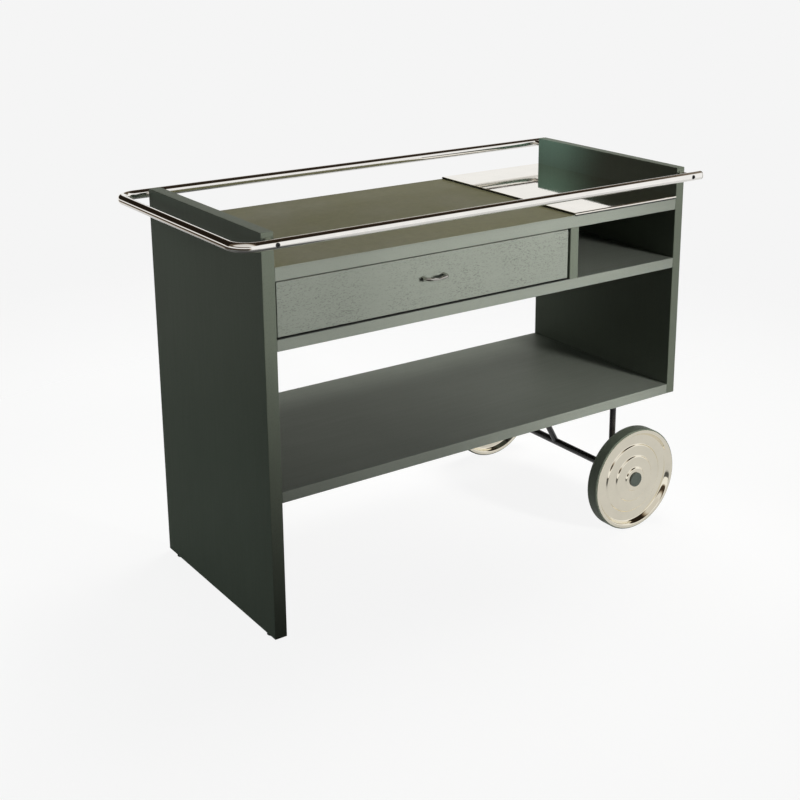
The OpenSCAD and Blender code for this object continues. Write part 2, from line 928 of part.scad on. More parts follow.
module front_disc_outer() {
    at_front_wheel() disc_outer();
}

module front_disc_inner() {
    at_front_wheel() disc_inner();
}

module front_bush() {
    at_front_wheel() bush();
}

module front_hub_cap() {
    at_front_wheel() hub_cap();
}

module rear_tyre() {
    at_rear_wheel() tyre();
}

module rear_core() {
    at_rear_wheel() core();
}

module rear_disc_outer() {
    at_rear_wheel() disc_outer();
}

module rear_disc_inner() {
    at_rear_wheel() disc_inner();
}

module rear_bush() {
    at_rear_wheel() bush();
}

module rear_hub_cap() {
    at_rear_wheel() hub_cap();
}

// The washer that keeps a wheel on its stub
module washer() {
    color(steel)
    translate([0, 0, -washer_depth - washer_t])
    difference() {
        cylinder(h = washer_t, d = washer_d);
        translate([0, 0, -1]) cylinder(h = washer_t + 2, d = end_screw_d + 2 * slip);
    }
}

module axle_washers() {
    at_front_wheel() washer();
    at_rear_wheel() washer();
}

// The screw in the end of the axle
module end_screw() {
    color(steel) {
        translate([0, 0, -washer_depth]) cylinder(h = end_head_h, d = end_head_d);
        translate([0, 0, -washer_depth - washer_t - end_bite])
            cylinder(h = end_bite + washer_t, d = end_screw_d);
    }
}

module axle_screws() {
    at_front_wheel() end_screw();
    at_rear_wheel() end_screw();
}

left_panel();
right_panel();
top_board();
top_lining();
middle_shelf();
lower_shelf();
divider();
back_panel();
carcass_dowels();
panel_glides();
drawer_front();
drawer_side_left();
drawer_side_right();
drawer_back();
drawer_bottom();
drawer_dowels();
drawer_pull();
pull_screws();
runner_left();
runner_right();
runner_screws();
drawer_stop();
stop_screw();
tray_plate();
rail();
rail_standoffs();
rail_screws();
rail_plugs();
axle();
front_strut();
rear_strut();
stay();
foot_plates();
plate_screws();
axle_washers();
axle_screws();
front_tyre();
front_core();
front_disc_outer();
front_disc_inner();
front_bush();
front_hub_cap();
rear_tyre();
rear_core();
rear_disc_outer();
rear_disc_inner();
rear_bush();
rear_hub_cap();
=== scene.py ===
# %% [markdown]
# # A bar trolley
# The real object is a long case of lacquered board. A tall panel carries it at one end and a
# pair of plated wheels at the other, and a chromed tube runs round the top and becomes the
# handle. Its construction already exists as solid parts, in metres, with the origin on the
# floor under the middle. Loading them first gives every later piece its exact place.

# %% Load the construction
import bpy
import math
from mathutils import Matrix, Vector


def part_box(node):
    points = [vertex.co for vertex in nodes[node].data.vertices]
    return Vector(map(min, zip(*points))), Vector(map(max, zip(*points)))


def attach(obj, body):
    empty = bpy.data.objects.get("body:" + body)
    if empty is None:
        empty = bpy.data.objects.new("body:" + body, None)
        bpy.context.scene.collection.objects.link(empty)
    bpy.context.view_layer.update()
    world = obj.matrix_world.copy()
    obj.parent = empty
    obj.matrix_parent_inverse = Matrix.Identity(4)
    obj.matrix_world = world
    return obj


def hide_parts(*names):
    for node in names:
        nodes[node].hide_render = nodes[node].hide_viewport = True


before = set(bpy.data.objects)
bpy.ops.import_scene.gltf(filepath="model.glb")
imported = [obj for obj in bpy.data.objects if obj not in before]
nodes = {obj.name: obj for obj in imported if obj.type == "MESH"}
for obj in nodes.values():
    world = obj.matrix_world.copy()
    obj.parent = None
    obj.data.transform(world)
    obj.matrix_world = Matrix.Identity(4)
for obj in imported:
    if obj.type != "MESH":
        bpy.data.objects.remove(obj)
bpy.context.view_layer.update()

# %% [markdown]
# Operators work on whatever is selected, and the construction is still selected now. So each
# step first says what it works on. Small lengths are written in millimetres.

# %% Millimetres, and selecting
MM = 0.001


def pick(*objects):
    """Leave edit mode and select only these objects, the first one active."""
    if bpy.context.object and bpy.context.object.mode != "OBJECT":
        bpy.ops.object.mode_set(mode="OBJECT")
    bpy.ops.object.select_all(action="DESELECT")
    for item in objects:
        item.select_set(True)
    if objects:
        bpy.context.view_layer.objects.active = objects[0]


# %% [markdown]
# The photograph was taken from the front left, a little above the top. Its uprights stay
# parallel, as they do with a shift lens. A strong shift would push the trolley out of the
# frame when the camera goes round it, so a small one and a slight downward tilt come close.

# %% Camera
CAMERA_PLACE = Vector((-1.3508, -1.9418, 1.1630))
CAMERA_YAW = math.radians(35.78)
CAMERA_PITCH = math.radians(15.72)
pick()
bpy.ops.object.camera_add(
    location=CAMERA_PLACE, rotation=(math.radians(90) - CAMERA_PITCH, 0, -CAMERA_YAW))
camera = bpy.context.object
camera.name = "camera"
camera.data.lens = 60.81
camera.data.sensor_width = 36
camera.data.shift_x = -0.05
camera.data.shift_y = -0.15
camera.data.clip_end = 60
bpy.context.scene.camera = camera
bpy.context.scene.view_settings.view_transform = "Standard"
print("camera at", [round(v, 2) for v in CAMERA_PLACE])

# %% [markdown]
# Materials are built from a few nodes each. A material starts as a Principled surface, and
# small helpers add a pattern that follows Object coordinates, so that it stays put on the
# piece from every side. An unwrapped picture could do the same, but noise needs no unwrapping
# and has no seams.

# %% Helpers for materials
def new_material(name, colour, roughness, metallic=0.0):
    """A Principled material, returned with its node tree and surface node."""
    material = bpy.data.materials.new(name)
    material.use_nodes = True
    surface = material.node_tree.nodes["Principled BSDF"]
    surface.inputs["Base Color"].default_value = (*colour, 1)
    surface.inputs["Roughness"].default_value = roughness
    surface.inputs["Metallic"].default_value = metallic
    return material, material.node_tree, surface


def pattern(tree, stretch, scale, detail=6.0, rough=0.55, distortion=0.0):
    """A noise that reads Object coordinates, stretched by three factors."""
    place = tree.nodes.new("ShaderNodeTexCoord")
    mapping = tree.nodes.new("ShaderNodeMapping")
    mapping.inputs["Scale"].default_value = stretch
    noise = tree.nodes.new("ShaderNodeTexNoise")
    noise.inputs["Scale"].default_value = scale
    noise.inputs["Detail"].default_value = detail
    noise.inputs["Roughness"].default_value = rough
    noise.inputs["Distortion"].default_value = distortion
    tree.links.new(place.outputs["Object"], mapping.inputs["Vector"])
    tree.links.new(mapping.outputs["Vector"], noise.inputs["Vector"])
    return noise.outputs["Fac"]


def ramp(tree, value, stops):
    """A colour ramp over a value; each stop is a position and a colour."""
    node = tree.nodes.new("ShaderNodeValToRGB")
    band = node.color_ramp
    while len(band.elements) < len(stops):
        band.elements.new(0.5)
    for element, (position, colour) in zip(band.elements, stops):
        element.position = position
        element.color = (*colour, 1)
    tree.links.new(value, node.inputs["Fac"])
    return node.outputs["Color"]


def grey(level):
    """A grey as a colour."""
    return (level, level, level)


def blend(tree, kind, amount, first, second):
    """Mix two colours by an amount, which is a number or another output."""
    node = tree.nodes.new("ShaderNodeMix")
    node.data_type = "RGBA"
    node.blend_type = kind
    if isinstance(amount, (int, float)):
        node.inputs["Factor"].default_value = amount
    else:
        tree.links.new(amount, node.inputs["Factor"])
    tree.links.new(first, node.inputs["A"])
    tree.links.new(second, node.inputs["B"])
    return node.outputs["Result"]


def relief(tree, surface, height, depth, strength=1.0):
    """Drive the surface's normal by a height, in metres of depth."""
    bump = tree.nodes.new("ShaderNodeBump")
    bump.inputs["Distance"].default_value = depth
    bump.inputs["Strength"].default_value = strength
    tree.links.new(height, bump.inputs["Height"])
    tree.links.new(bump.outputs["Normal"], surface.inputs["Normal"])


# %% [markdown]
# ## Lacquer
# The case is a fine-grained veneer under grey-green lacquer. From near by, short dark pores
# lie along the grain, the colour drifts slowly across a board, and the lacquer is satin. The
# grain runs along each board, so there is one lacquer for lying boards and one for upright
# panels. The upright one is also darker, which is painted shade: the lacquer is the same, and
# the darker colour stands in for the weaker sheen on upright faces. A third one, with deeper
# pores, is for the drawer front, where they show most. The pores are a stretched noise with a
# hard threshold.

# %% Lacquer
LYING = (0.225, 0.245, 0.213)
# The upright colour is darker than the lying one as painted shade, not as a different lacquer.
UPRIGHT_PAINTED_SHADE = (0.128, 0.146, 0.115)


def lacquer(name, colour, along, fleck_depth):
    """Grey-green lacquer with the grain along one axis, 0 for X and 2 for Z."""
    material, tree, surface = new_material(name, colour, 0.45)
    grain = [16.0, 16.0, 16.0]
    grain[along] = 1.0
    flecks = [800.0, 800.0, 800.0]
    flecks[along] = 260.0
    drift = pattern(tree, (1, 1, 1), 4.0, detail=2.0)
    drifting = ramp(tree, drift, [(0.35, tuple(c * 0.93 for c in colour)), (0.65, colour)])
    fibre = pattern(tree, grain, 9.0, detail=5.0, rough=0.65, distortion=0.3)
    fibre_shade = ramp(tree, fibre, [(0.30, grey(0.95)), (0.70, grey(1.0))])
    body = blend(tree, "MULTIPLY", 1.0, drifting, fibre_shade)
    fleck = pattern(tree, flecks, 1.0, detail=3.0, rough=0.6)
    fleck_shade = ramp(tree, fleck, [(0.34, grey(1.0 - fleck_depth)), (0.47, grey(1.0))])
    patches = pattern(tree, (1, 1, 1), 11.0, detail=3.0)
    crowding = ramp(tree, patches, [(0.35, grey(0.35)), (0.6, grey(1.0))])
    mixed = blend(tree, "MULTIPLY", crowding, body, fleck_shade)
    tree.links.new(mixed, surface.inputs["Base Color"])
    sheen = ramp(tree, fibre, [(0.2, grey(0.50)), (0.8, grey(0.42))])
    tree.links.new(sheen, surface.inputs["Roughness"])
    relief(tree, surface, fleck, 0.00005, 0.5)
    surface.inputs["Specular IOR Level"].default_value = 0.16
    return material


lacquer_lying = lacquer("lacquer along the boards", LYING, 0, 0.14)
lacquer_front = lacquer("lacquer of the drawer front", LYING, 0, 0.46)
lacquer_upright_painted_shade = lacquer("lacquer up the panels", UPRIGHT_PAINTED_SHADE, 2, 0.20)
print("lacquers:", lacquer_lying.name, lacquer_front.name, lacquer_upright_painted_shade.name, sep="\n  ")

# %% [markdown]
# ## Metals
# The rail, wheels and tray plate have a warm white plating, so the metal itself is tinted
# like nickel. A polished surface is never perfect: faint clouds in the roughness and very
# fine scratches keep the reflections from looking drawn.

# %% Metals
def plating(name, colour, roughness, scratch):
    """Polished plating with faint clouds and fine scratches."""
    material, tree, surface = new_material(name, colour, roughness, metallic=1.0)
    clouds = pattern(tree, (1, 1, 1), 22.0, detail=4.0)
    dull = ramp(tree, clouds, [(0.3, grey(roughness * 0.7)), (0.7, grey(roughness * 1.4))])
    tree.links.new(dull, surface.inputs["Roughness"])
    stain = ramp(tree, clouds, [(0.25, tuple(c * 0.94 for c in colour)), (0.6, colour)])
    tree.links.new(stain, surface.inputs["Base Color"])
    lines = pattern(tree, (3.0, 40.0, 40.0), 30.0, detail=3.0)
    relief(tree, surface, lines, scratch, 0.3)
    return material


nickel = plating("nickel of the wheels", (0.91, 0.855, 0.715), 0.045, 0.000001)
rail_chrome = plating("chrome of the rail", (0.94, 0.92, 0.88), 0.04, 0.000001)
dark_nickel = plating("dark nickel of the pull", (0.42, 0.41, 0.38), 0.05, 0.000001)
tray_nickel = plating("nickel of the tray plate", (0.92, 0.885, 0.81), 0.04, 0.000001)
zinc = plating("zinc-plated steel", (0.42, 0.42, 0.41), 0.32, 0.00001)
blued = plating("blackened steel of the rail screws", (0.06, 0.06, 0.06), 0.30, 0.00001)
bush_bronze = plating("bronze of the bushes", (0.50, 0.35, 0.17), 0.30, 0.00001)
metals = (nickel, rail_chrome, dark_nickel, tray_nickel, zinc, blued, bush_bronze)
print("metals:", ", ".join(metal.name for metal in metals))

# %% [markdown]
# The axle, its struts and the foot plates are enamelled black. The enamel is glossy under a
# thin coat, and a little dust varies its roughness.

# %% Black enamel
def black_paint():
    """Black stove enamel with a slight orange peel."""
    material, tree, surface = new_material("black enamel", (0.010, 0.010, 0.011), 0.28)
    peel = pattern(tree, (1, 1, 1), 260.0, detail=2.0)
    relief(tree, surface, peel, 0.00004, 0.35)
    dust = pattern(tree, (1, 1, 1), 30.0, detail=5.0)
    tree.links.new(ramp(tree, dust, [(0.35, grey(0.22)), (0.75, grey(0.38))]),
                   surface.inputs["Roughness"])
    surface.inputs["Coat Weight"].default_value = 0.4
    surface.inputs["Coat Roughness"].default_value = 0.12
    return material


enamel = black_paint()
print("paint:", enamel.name)

# %% [markdown]
# ## Lining, rubber and wood
# The top has an olive lining with a soft, slightly mottled surface. A fine noise gives both
# the mottle and the leathery relief, and a broad one varies the shade a little.

# %% Olive lining
def olive_lining():
    """Olive lining with a fine mottle and a leathery relief."""
    material, tree, surface = new_material("olive lining", (0.150, 0.142, 0.088), 0.5)
    surface.inputs["Specular IOR Level"].default_value = 0.15
    mottle = pattern(tree, (1, 1, 1), 90.0, detail=6.0, rough=0.7)
    patches = pattern(tree, (1, 1, 1), 7.0, detail=3.0)
    fine = ramp(tree, mottle, [(0.30, (0.130, 0.126, 0.070)), (0.70, (0.164, 0.158, 0.090))])
    slow = ramp(tree, patches, [(0.3, grey(0.9)), (0.7, grey(1.0))])
    tree.links.new(blend(tree, "MULTIPLY", 1.0, fine, slow), surface.inputs["Base Color"])
    tree.links.new(ramp(tree, patches, [(0.3, grey(0.40)), (0.7, grey(0.52))]),
                   surface.inputs["Roughness"])
    relief(tree, surface, mottle, 0.00008, 0.5)
    return material


lining_finish = olive_lining()
print("lining:", lining_finish.name)

# %% [markdown]
# The tyres are matt grey-green rubber, and the caps and glides are plastic. All have a fine
# skin and some scuffs, so one function makes them in their own colours.

# %% Rubber and plastic
def grey_rubber(name, colour, roughness):
    """Matt grey-green rubber or plastic with a fine skin."""
    material, tree, surface = new_material(name, colour, roughness)
    skin = pattern(tree, (1, 1, 1), 420.0, detail=4.0)
    scuff = pattern(tree, (1, 1, 1), 28.0, detail=6.0, rough=0.7)
    darker = tuple(c * 0.82 for c in colour)
    tree.links.new(ramp(tree, scuff, [(0.35, darker), (0.68, colour)]),
                   surface.inputs["Base Color"])
    sheen = ramp(tree, scuff, [(0.3, grey(roughness - 0.08)), (0.7, grey(roughness + 0.08))])
    tree.links.new(sheen, surface.inputs["Roughness"])
    relief(tree, surface, skin, 0.00005, 0.4)
    return material


rubber = grey_rubber("grey-green rubber", (0.125, 0.147, 0.112), 0.6)
cap_finish = grey_rubber("grey-green cap", (0.060, 0.074, 0.062), 0.42)
dark_plastic = grey_rubber("dark moulded plastic", (0.025, 0.027, 0.025), 0.5)
print("rubber and plastic:", rubber.name, cap_finish.name, dark_plastic.name, sep="\n  ")

# %% [markdown]
# The drawer's inside is pale beech. Beech is known by its short darker flecks, which are a
# second stretched noise over the broad grain. The grain runs along each board, so there is
# one beech for each direction.

# %% Beech
def beech_wood(name, stretch, fleck_stretch):
    """Pale beech with soft grain bands and short ray flecks."""
    material, tree, surface = new_material(name, (0.50, 0.36, 0.22), 0.48)
    bands = pattern(tree, stretch, 7.0, detail=4.0, distortion=0.6)
    wood = ramp(tree, bands, [(0.3, (0.42, 0.29, 0.165)), (0.7, (0.56, 0.41, 0.26))])
    flecks = pattern(tree, fleck_stretch, 60.0, detail=1.0)
    mask = ramp(tree, flecks, [(0.62, grey(1.0)), (0.72, grey(0.74))])
    tree.links.new(blend(tree, "MULTIPLY", 1.0, wood, mask), surface.inputs["Base Color"])
    relief(tree, surface, bands, 0.00005, 0.3)
    return material


beech_x = beech_wood("beech along X", (1.0, 9.0, 9.0), (1.0, 6.0, 6.0))
beech_y = beech_wood("beech along Y", (9.0, 1.0, 9.0), (6.0, 1.0, 6.0))
print("woods:", beech_x.name, "and", beech_y.name)

# %% [markdown]
# ## Boards
# Each board is a flat piece whose edges a joiner eases with a touch of sandpaper, and the
# lacquer rounds them a little more. That rounding is what catches a thin line of light. A
# bevel in a shader would only look round, so a block of the board's size gets real ones on
# all its edges, and weighted normals keep the broad faces flat. Every finished piece keeps
# its object at the origin and its place in its mesh, which is what `settle` does.

# %% Helpers for blocks, edges and shading
def settle(piece, name):
    """Name a piece and move its place, turn and scale into its mesh."""
    pick(piece)
    bpy.ops.object.transform_apply(location=True, rotation=True, scale=True)
    piece.name = piece.data.name = name
    return piece


def block(name, low, high):
    """A block between two corners, as a start for a board, bar or plate."""
    pick()
    bpy.ops.mesh.primitive_cube_add(size=1, location=(low + high) / 2)
    bpy.context.object.scale = high - low
    return settle(bpy.context.object, name)


def edit_all(piece):
    """Enter edit mode on this piece with all of it selected."""
    pick(piece)
    bpy.ops.object.mode_set(mode="EDIT")
    bpy.ops.mesh.select_all(action="SELECT")


def apply_modifier(piece, kind, **settings):
    """Add one modifier with these settings and apply it at once."""
    pick(piece)
    bpy.ops.object.modifier_add(type=kind)
    modifier = piece.modifiers[-1]
    for key, value in settings.items():
        setattr(modifier, key, value)
    bpy.ops.object.modifier_apply(modifier=modifier.name)


def soften_shading(piece, degrees=35):
    """Smooth the shading across gentle edges and keep large flat faces flat."""
    pick(piece)
    bpy.ops.object.shade_smooth_by_angle(angle=math.radians(degrees))
    apply_modifier(piece, "WEIGHTED_NORMAL", keep_sharp=True, weight=50)


def triangles(piece):
    """How many triangles a piece has."""
    return sum(len(face.vertices) - 2 for face in piece.data.polygons)


# %% A board with eased edges
EASE = 1.0 * MM


def board(node, body, finish, ease=EASE, segments=4, lowered=0.0):
    """An eased board in place of a construction node, its top lowered by a little."""
    low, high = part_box(node)
    high.z -= lowered
    piece = block(node + "_eased", low, high)
    edit_all(piece)
    bpy.ops.mesh.bevel(offset=ease, segments=segments, affect="EDGES")
    bpy.ops.object.mode_set(mode="OBJECT")
    soften_shading(piece)
    piece.data.materials.append(finish)
    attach(piece, body)
    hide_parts(node)
    return piece


# %% [markdown]
# The gap above the drawer front shows as a clear dark line, so the front's top is lowered a
# little, which widens that gap.

# %% Case boards
FRONT_EASE = 0.8 * MM
FRONT_LOWERED = 1.0 * MM
for node in ("left_panel", "right_panel"):
    board(node, "carcass", lacquer_upright_painted_shade)
for node in ("top_board", "middle_shelf", "lower_shelf", "back_panel"):
    board(node, "carcass", lacquer_lying)
board("divider", "carcass", lacquer_upright_painted_shade)
front = board("drawer_front", "drawer", lacquer_front, ease=FRONT_EASE, lowered=FRONT_LOWERED)
print("the drawer front is", [round(v * 1000, 1) for v in front.dimensions], "mm")

# %% [markdown]
# The gap under the drawer front shows as a black line. A thin black strip lies on the shelf
# there as painted shade: it swallows the light that would otherwise show the shelf in the gap.

# %% Painted shade strip under the drawer front
SHADE_STRIP_HEIGHT = 1.0 * MM
SHADE_STRIP_END = 0.5 * MM
SHADE_STRIP_SETBACK = 1.2 * MM
THIN_EASE = 0.3 * MM
shelf_front, shelf_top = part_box("middle_shelf")[0].y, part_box("middle_shelf")[1].z
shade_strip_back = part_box("drawer_front")[1].y
shade_strip_low = Vector((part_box("left_panel")[1].x + SHADE_STRIP_END, shelf_front + SHADE_STRIP_SETBACK, shelf_top))
shade_strip_high = Vector((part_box("divider")[0].x - SHADE_STRIP_END, shade_strip_back, shelf_top + SHADE_STRIP_HEIGHT))
# This black strip stands in for the shadow in the gap under the drawer front: painted shade.
painted_shade = block("drawer_painted_shade_strip", shade_strip_low, shade_strip_high)
apply_modifier(painted_shade, "BEVEL", width=THIN_EASE, segments=2, limit_method="ANGLE")
soften_shading(painted_shade)
painted_shade.data.materials.append(dark_plastic)
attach(painted_shade, "carcass")
print("felt strip:", triangles(painted_shade), "triangles")

# %% [markdown]
# The lining is a thin sheet glued to the top board, and the lacquer of the board runs up its
# front and back edges. These narrow faces therefore get the lacquer, and the rest the olive.

# %% Lining of the top
LINING_EASE = 0.6 * MM
lining = board("top_lining", "carcass", lining_finish, ease=LINING_EASE, segments=3)
lining.data.materials.append(lacquer_lying)
for face in lining.data.polygons:
    face.material_index = 1 if abs(face.normal.y) > 0.5 else 0

# %% [markdown]
# ## Tubes
# The rail and the drawer pull are bent round bars. A curve with a round bevel would give such
# a bar too. Here, as by hand, a circle is the section: it is extruded along each straight and
# spun round each bend, which makes true arcs and puts rings just where they are needed. What
# is still selected after a step is the new end, so the steps simply follow each other.

# %% A bar that is extruded and spun
SECTION_SIDES = 40
MERGE = 0.01 * MM


def start_section(place, radius, normal):
    """A ring of vertices at the start of a bar, facing along the normal."""
    pick()
    turn = Vector((0, 0, 1)).rotation_difference(normal).to_euler()
    bpy.ops.mesh.primitive_circle_add(
        vertices=SECTION_SIDES, radius=radius, fill_type="NGON", location=place, rotation=turn)
    bpy.ops.object.transform_apply(location=True, rotation=True, scale=True)
    bpy.ops.object.mode_set(mode="EDIT")
    bpy.ops.mesh.select_mode(type="FACE")
    bpy.ops.mesh.select_all(action="SELECT")
    return bpy.context.object


def extrude_by(step):
    """Push the selected end along by a vector."""
    bpy.ops.mesh.extrude_region_move(TRANSFORM_OT_translate={"value": step})


def bend_by(centre, axis, angle, steps):
    """Spin the selected end round a bend."""
    bpy.ops.mesh.spin(steps=steps, angle=angle, center=centre, axis=axis)


def close_mesh(piece, name):
    """Leave edit mode with doubled points merged and faces that point outwards."""
    bpy.ops.mesh.select_all(action="SELECT")
    bpy.ops.mesh.remove_doubles(threshold=MERGE)
    bpy.ops.mesh.normals_make_consistent(inside=False)
    bpy.ops.object.mode_set(mode="OBJECT")
    piece.name = piece.data.name = name


# %% [markdown]
# The rail starts at its free end at the front right, runs along the front, bends round the
# left panel as the handle, and comes back along the rear. Extra rings stand on both sides of
# each screw, so that the hole for the screw's head disturbs only a short stretch. The tube
# ends just before the rim of each plug, and the gap makes the dark line round it.

# %% Rail
RAIL_RADIUS = 8 * MM
RAIL_BEND = 32 * MM
RAIL_BEND_STEPS = 18
SCREW_RING = 9 * MM
PLUG_GAP = 0.5 * MM
rail_low, rail_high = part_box("rail")
screw_low, screw_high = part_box("rail_screws")
head_radius = (screw_high.z - screw_low.z) / 2
leg_front = rail_low.y + RAIL_RADIUS
leg_back = rail_high.y - RAIL_RADIUS
rail_z = (rail_low.z + rail_high.z) / 2
handle_x = rail_low.x + RAIL_RADIUS
bend_x = handle_x + RAIL_BEND
screw_xs = [screw_low.x + head_radius, screw_high.x - head_radius]
leg_stops = [rail_high.x - PLUG_GAP]
for x in reversed(screw_xs):
    leg_stops += [x + SCREW_RING, x - SCREW_RING]
leg_stops.append(bend_x)
back_stops = leg_stops[::-1]

rail = start_section(Vector((leg_stops[0], leg_front, rail_z)), RAIL_RADIUS, Vector((-1, 0, 0)))
for start, end in zip(leg_stops, leg_stops[1:]):
    extrude_by((end - start, 0, 0))
quarter = math.radians(90)
bend_by((bend_x, leg_front + RAIL_BEND, rail_z), (0, 0, 1), quarter, RAIL_BEND_STEPS)
extrude_by((0, leg_back - leg_front - 2 * RAIL_BEND, 0))
bend_by((bend_x, leg_back - RAIL_BEND, rail_z), (0, 0, 1), quarter, RAIL_BEND_STEPS)
for start, end in zip(back_stops, back_stops[1:]):
    extrude_by((end - start, 0, 0))
close_mesh(rail, "rail_tube")
print("rail box in mm:", [round(v * 1000, 1) for v in rail.dimensions])

# %% [markdown]
# Each screw sits in a round hole in the tube's outer side. Four short cylinders are joined
# into one cutter, and a Boolean takes them out. The bar itself is solid here, since its hollow
# can't be seen behind the plugs.

# %% Screw holes in the rail
HOLE_RADIUS = 4 * MM
HOLE_DEPTH = 7 * MM


def joined(pieces, name):
    """Join pieces into the first one, under this name."""
    pick(*pieces)
    bpy.ops.object.join()
    return settle(bpy.context.object, name)


cutters = []
for x in screw_xs:
    for y in (rail_low.y, rail_high.y):
        pick()
        bpy.ops.mesh.primitive_cylinder_add(
            vertices=48, radius=HOLE_RADIUS, depth=2 * HOLE_DEPTH, location=(x, y, rail_z),
            rotation=(quarter, 0, 0))
        cutters.append(settle(bpy.context.object, "cutter"))
cutter = joined(cutters, "cutter")
apply_modifier(rail, "BOOLEAN", operation="DIFFERENCE", solver="EXACT", object=cutter)
pick(cutter)
bpy.ops.object.delete()
soften_shading(rail, 40)
rail.data.materials.append(rail_chrome)
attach(rail, "carcass")
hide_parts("rail")
print("rail:", triangles(rail), "triangles")


# %% [markdown]
# ## Turned pieces
# Plugs, standoffs, discs, tyres and caps are all turned. Half of the section is drawn as a
# chain of points, starting from one vertex, and then spun a full turn about the axis. Doubled
# points on the seam and at the poles are merged. A cylinder would be one step, but it has
# none of the small steps and round edges that make a turned piece look made.

# %% A chain of points, spun about an axis
def draw_chain(points):
    """Edges from point to point, left selected in edit mode."""
    pick()
    bpy.ops.mesh.primitive_plane_add(size=MM, location=points[0])
    bpy.ops.object.transform_apply(location=True, rotation=True, scale=True)
    bpy.ops.object.mode_set(mode="EDIT")
    bpy.ops.mesh.select_mode(type="VERT")
    bpy.ops.mesh.select_all(action="SELECT")
    bpy.ops.mesh.merge(type="CENTER")
    for start, end in zip(points, points[1:]):
        bpy.ops.mesh.extrude_region_move(TRANSFORM_OT_translate={"value": end - start})
    return bpy.context.object


def turned(name, section, centre, axis, outward, steps=128):
    """Spin a section of (radius, place along the axis) pairs a full turn about the axis."""
    points = [centre + outward * radius + axis * along for radius, along in section]
    piece = draw_chain(points)
    bpy.ops.mesh.select_all(action="SELECT")
    bpy.ops.mesh.spin(steps=steps, angle=math.radians(360), center=centre, axis=axis)
    close_mesh(piece, name)
    return piece


def arc(centre, radius, start, end, parts):
    """Points of an arc in a section, between two angles in degrees."""
    turns = [math.radians(start + (end - start) * i / parts) for i in range(parts + 1)]
    return [(centre[0] + radius * math.cos(t), centre[1] + radius * math.sin(t)) for t in turns]


def finish_piece(piece, body, finish, slot, *replaced, degrees=35):
    """Shade a modelled piece, give it its finish and attach it to its body."""
    soften_shading(piece, degrees)
    piece.data.materials.clear()
    piece.data.materials.append(finish)
    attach(piece, body)
    if replaced:
        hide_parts(*replaced)


# %% [markdown]
# The plug in each free end of the rail is a small button with a round edge, on a shank that
# goes into the tube.

# %% Rail plugs
PLUG_EDGE = 1.0 * MM
PLUG_SHANK = 4 * MM
PLUG_SHANK_R = 5.5 * MM
PLUG_SEAT = 0.2 * MM
PLUG_CHAMFER = 0.3 * MM
PLUG_R = RAIL_RADIUS - 0.1 * MM
along_x, along_y, along_z = Vector((1, 0, 0)), Vector((0, 1, 0)), Vector((0, 0, 1))
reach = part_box("rail_plugs")[1].x - rail_high.x
section = [(0, -PLUG_SHANK), (PLUG_SHANK_R, -PLUG_SHANK), (PLUG_SHANK_R, PLUG_SEAT)]
section += [(PLUG_R - PLUG_CHAMFER, PLUG_SEAT), (PLUG_R, PLUG_SEAT + PLUG_CHAMFER)]
section += arc((RAIL_RADIUS - PLUG_EDGE, reach - PLUG_EDGE), PLUG_EDGE, 0, 90, 6)
section += [(0, reach)]
plugs = []
for y in (leg_front, leg_back):
    tube_end = Vector((rail_high.x, y, rail_z))
    plugs.append(turned("plug", section, tube_end, along_x, along_z, steps=64))
plug_pair = joined(plugs, "rail_plug_buttons")
finish_piece(plug_pair, "carcass", rail_chrome, "plated", "rail_plugs")
print("plugs:", triangles(plug_pair), "triangles")

# %% [markdown]
# A standoff is a short round post between a panel's edge and the tube. It ends inside the tube,
# where its end can't be seen.

# %% Standoffs
STANDOFF_RADIUS = 6 * MM
STANDOFF_EDGE = 0.6 * MM
END_BEFORE_AXIS = 3 * MM
panel_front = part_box("left_panel")[0].y
post_length = panel_front - leg_front - END_BEFORE_AXIS
flat_radius = STANDOFF_RADIUS - STANDOFF_EDGE
section = [(0, 0.0), (flat_radius, 0.0)]
section += arc((flat_radius, STANDOFF_EDGE), STANDOFF_EDGE, -90, 0, 4)
section += [(STANDOFF_RADIUS, post_length), (0, post_length)]
posts = []
for x in screw_xs:
    for side in (1, -1):
        foot = Vector((x, side * panel_front, rail_z))
        posts.append(turned("post", section, foot, -side * along_y, along_z, steps=48))
standoffs = joined(posts, "standoff_posts")
finish_piece(standoffs, "carcass", rail_chrome, "plated", "rail_standoffs")
print("standoffs:", triangles(standoffs), "triangles")

# %% [markdown]
# The drawer pull is a bow of dark bar. It is made like the rail: the foot of one post first,
# then a bend, the grip, the other bend and the second post. The grip sags a little and is
# thinner in the middle, so it is extruded in short steps, each of which resizes the end ring.

# %% Drawer pull
PULL_RADIUS = 3 * MM
PULL_BEND = 10 * MM
PULL_BEND_STEPS = 12
SAG = 1.6 * MM
WAIST = 1.0 * MM
GRIP_PARTS = 12
pull_low, pull_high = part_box("drawer_pull")
pull_z = (pull_low.z + pull_high.z) / 2
foot_left = pull_low.x + PULL_RADIUS
foot_right = pull_high.x - PULL_RADIUS
grip_y = pull_low.y + PULL_RADIUS
leg = pull_high.y - grip_y - PULL_BEND
pull = start_section(Vector((foot_left, pull_high.y, pull_z)), PULL_RADIUS, Vector((0, -1, 0)))
extrude_by((0, -leg, 0))
grip_start = foot_left + PULL_BEND
bend_by((grip_start, grip_y + PULL_BEND, pull_z), (0, 0, 1), -quarter, PULL_BEND_STEPS)
grip_end = foot_right - PULL_BEND
grip = grip_end - grip_start
waves = [(1 - math.cos(math.tau * i / GRIP_PARTS)) / 2 for i in range(GRIP_PARTS + 1)]
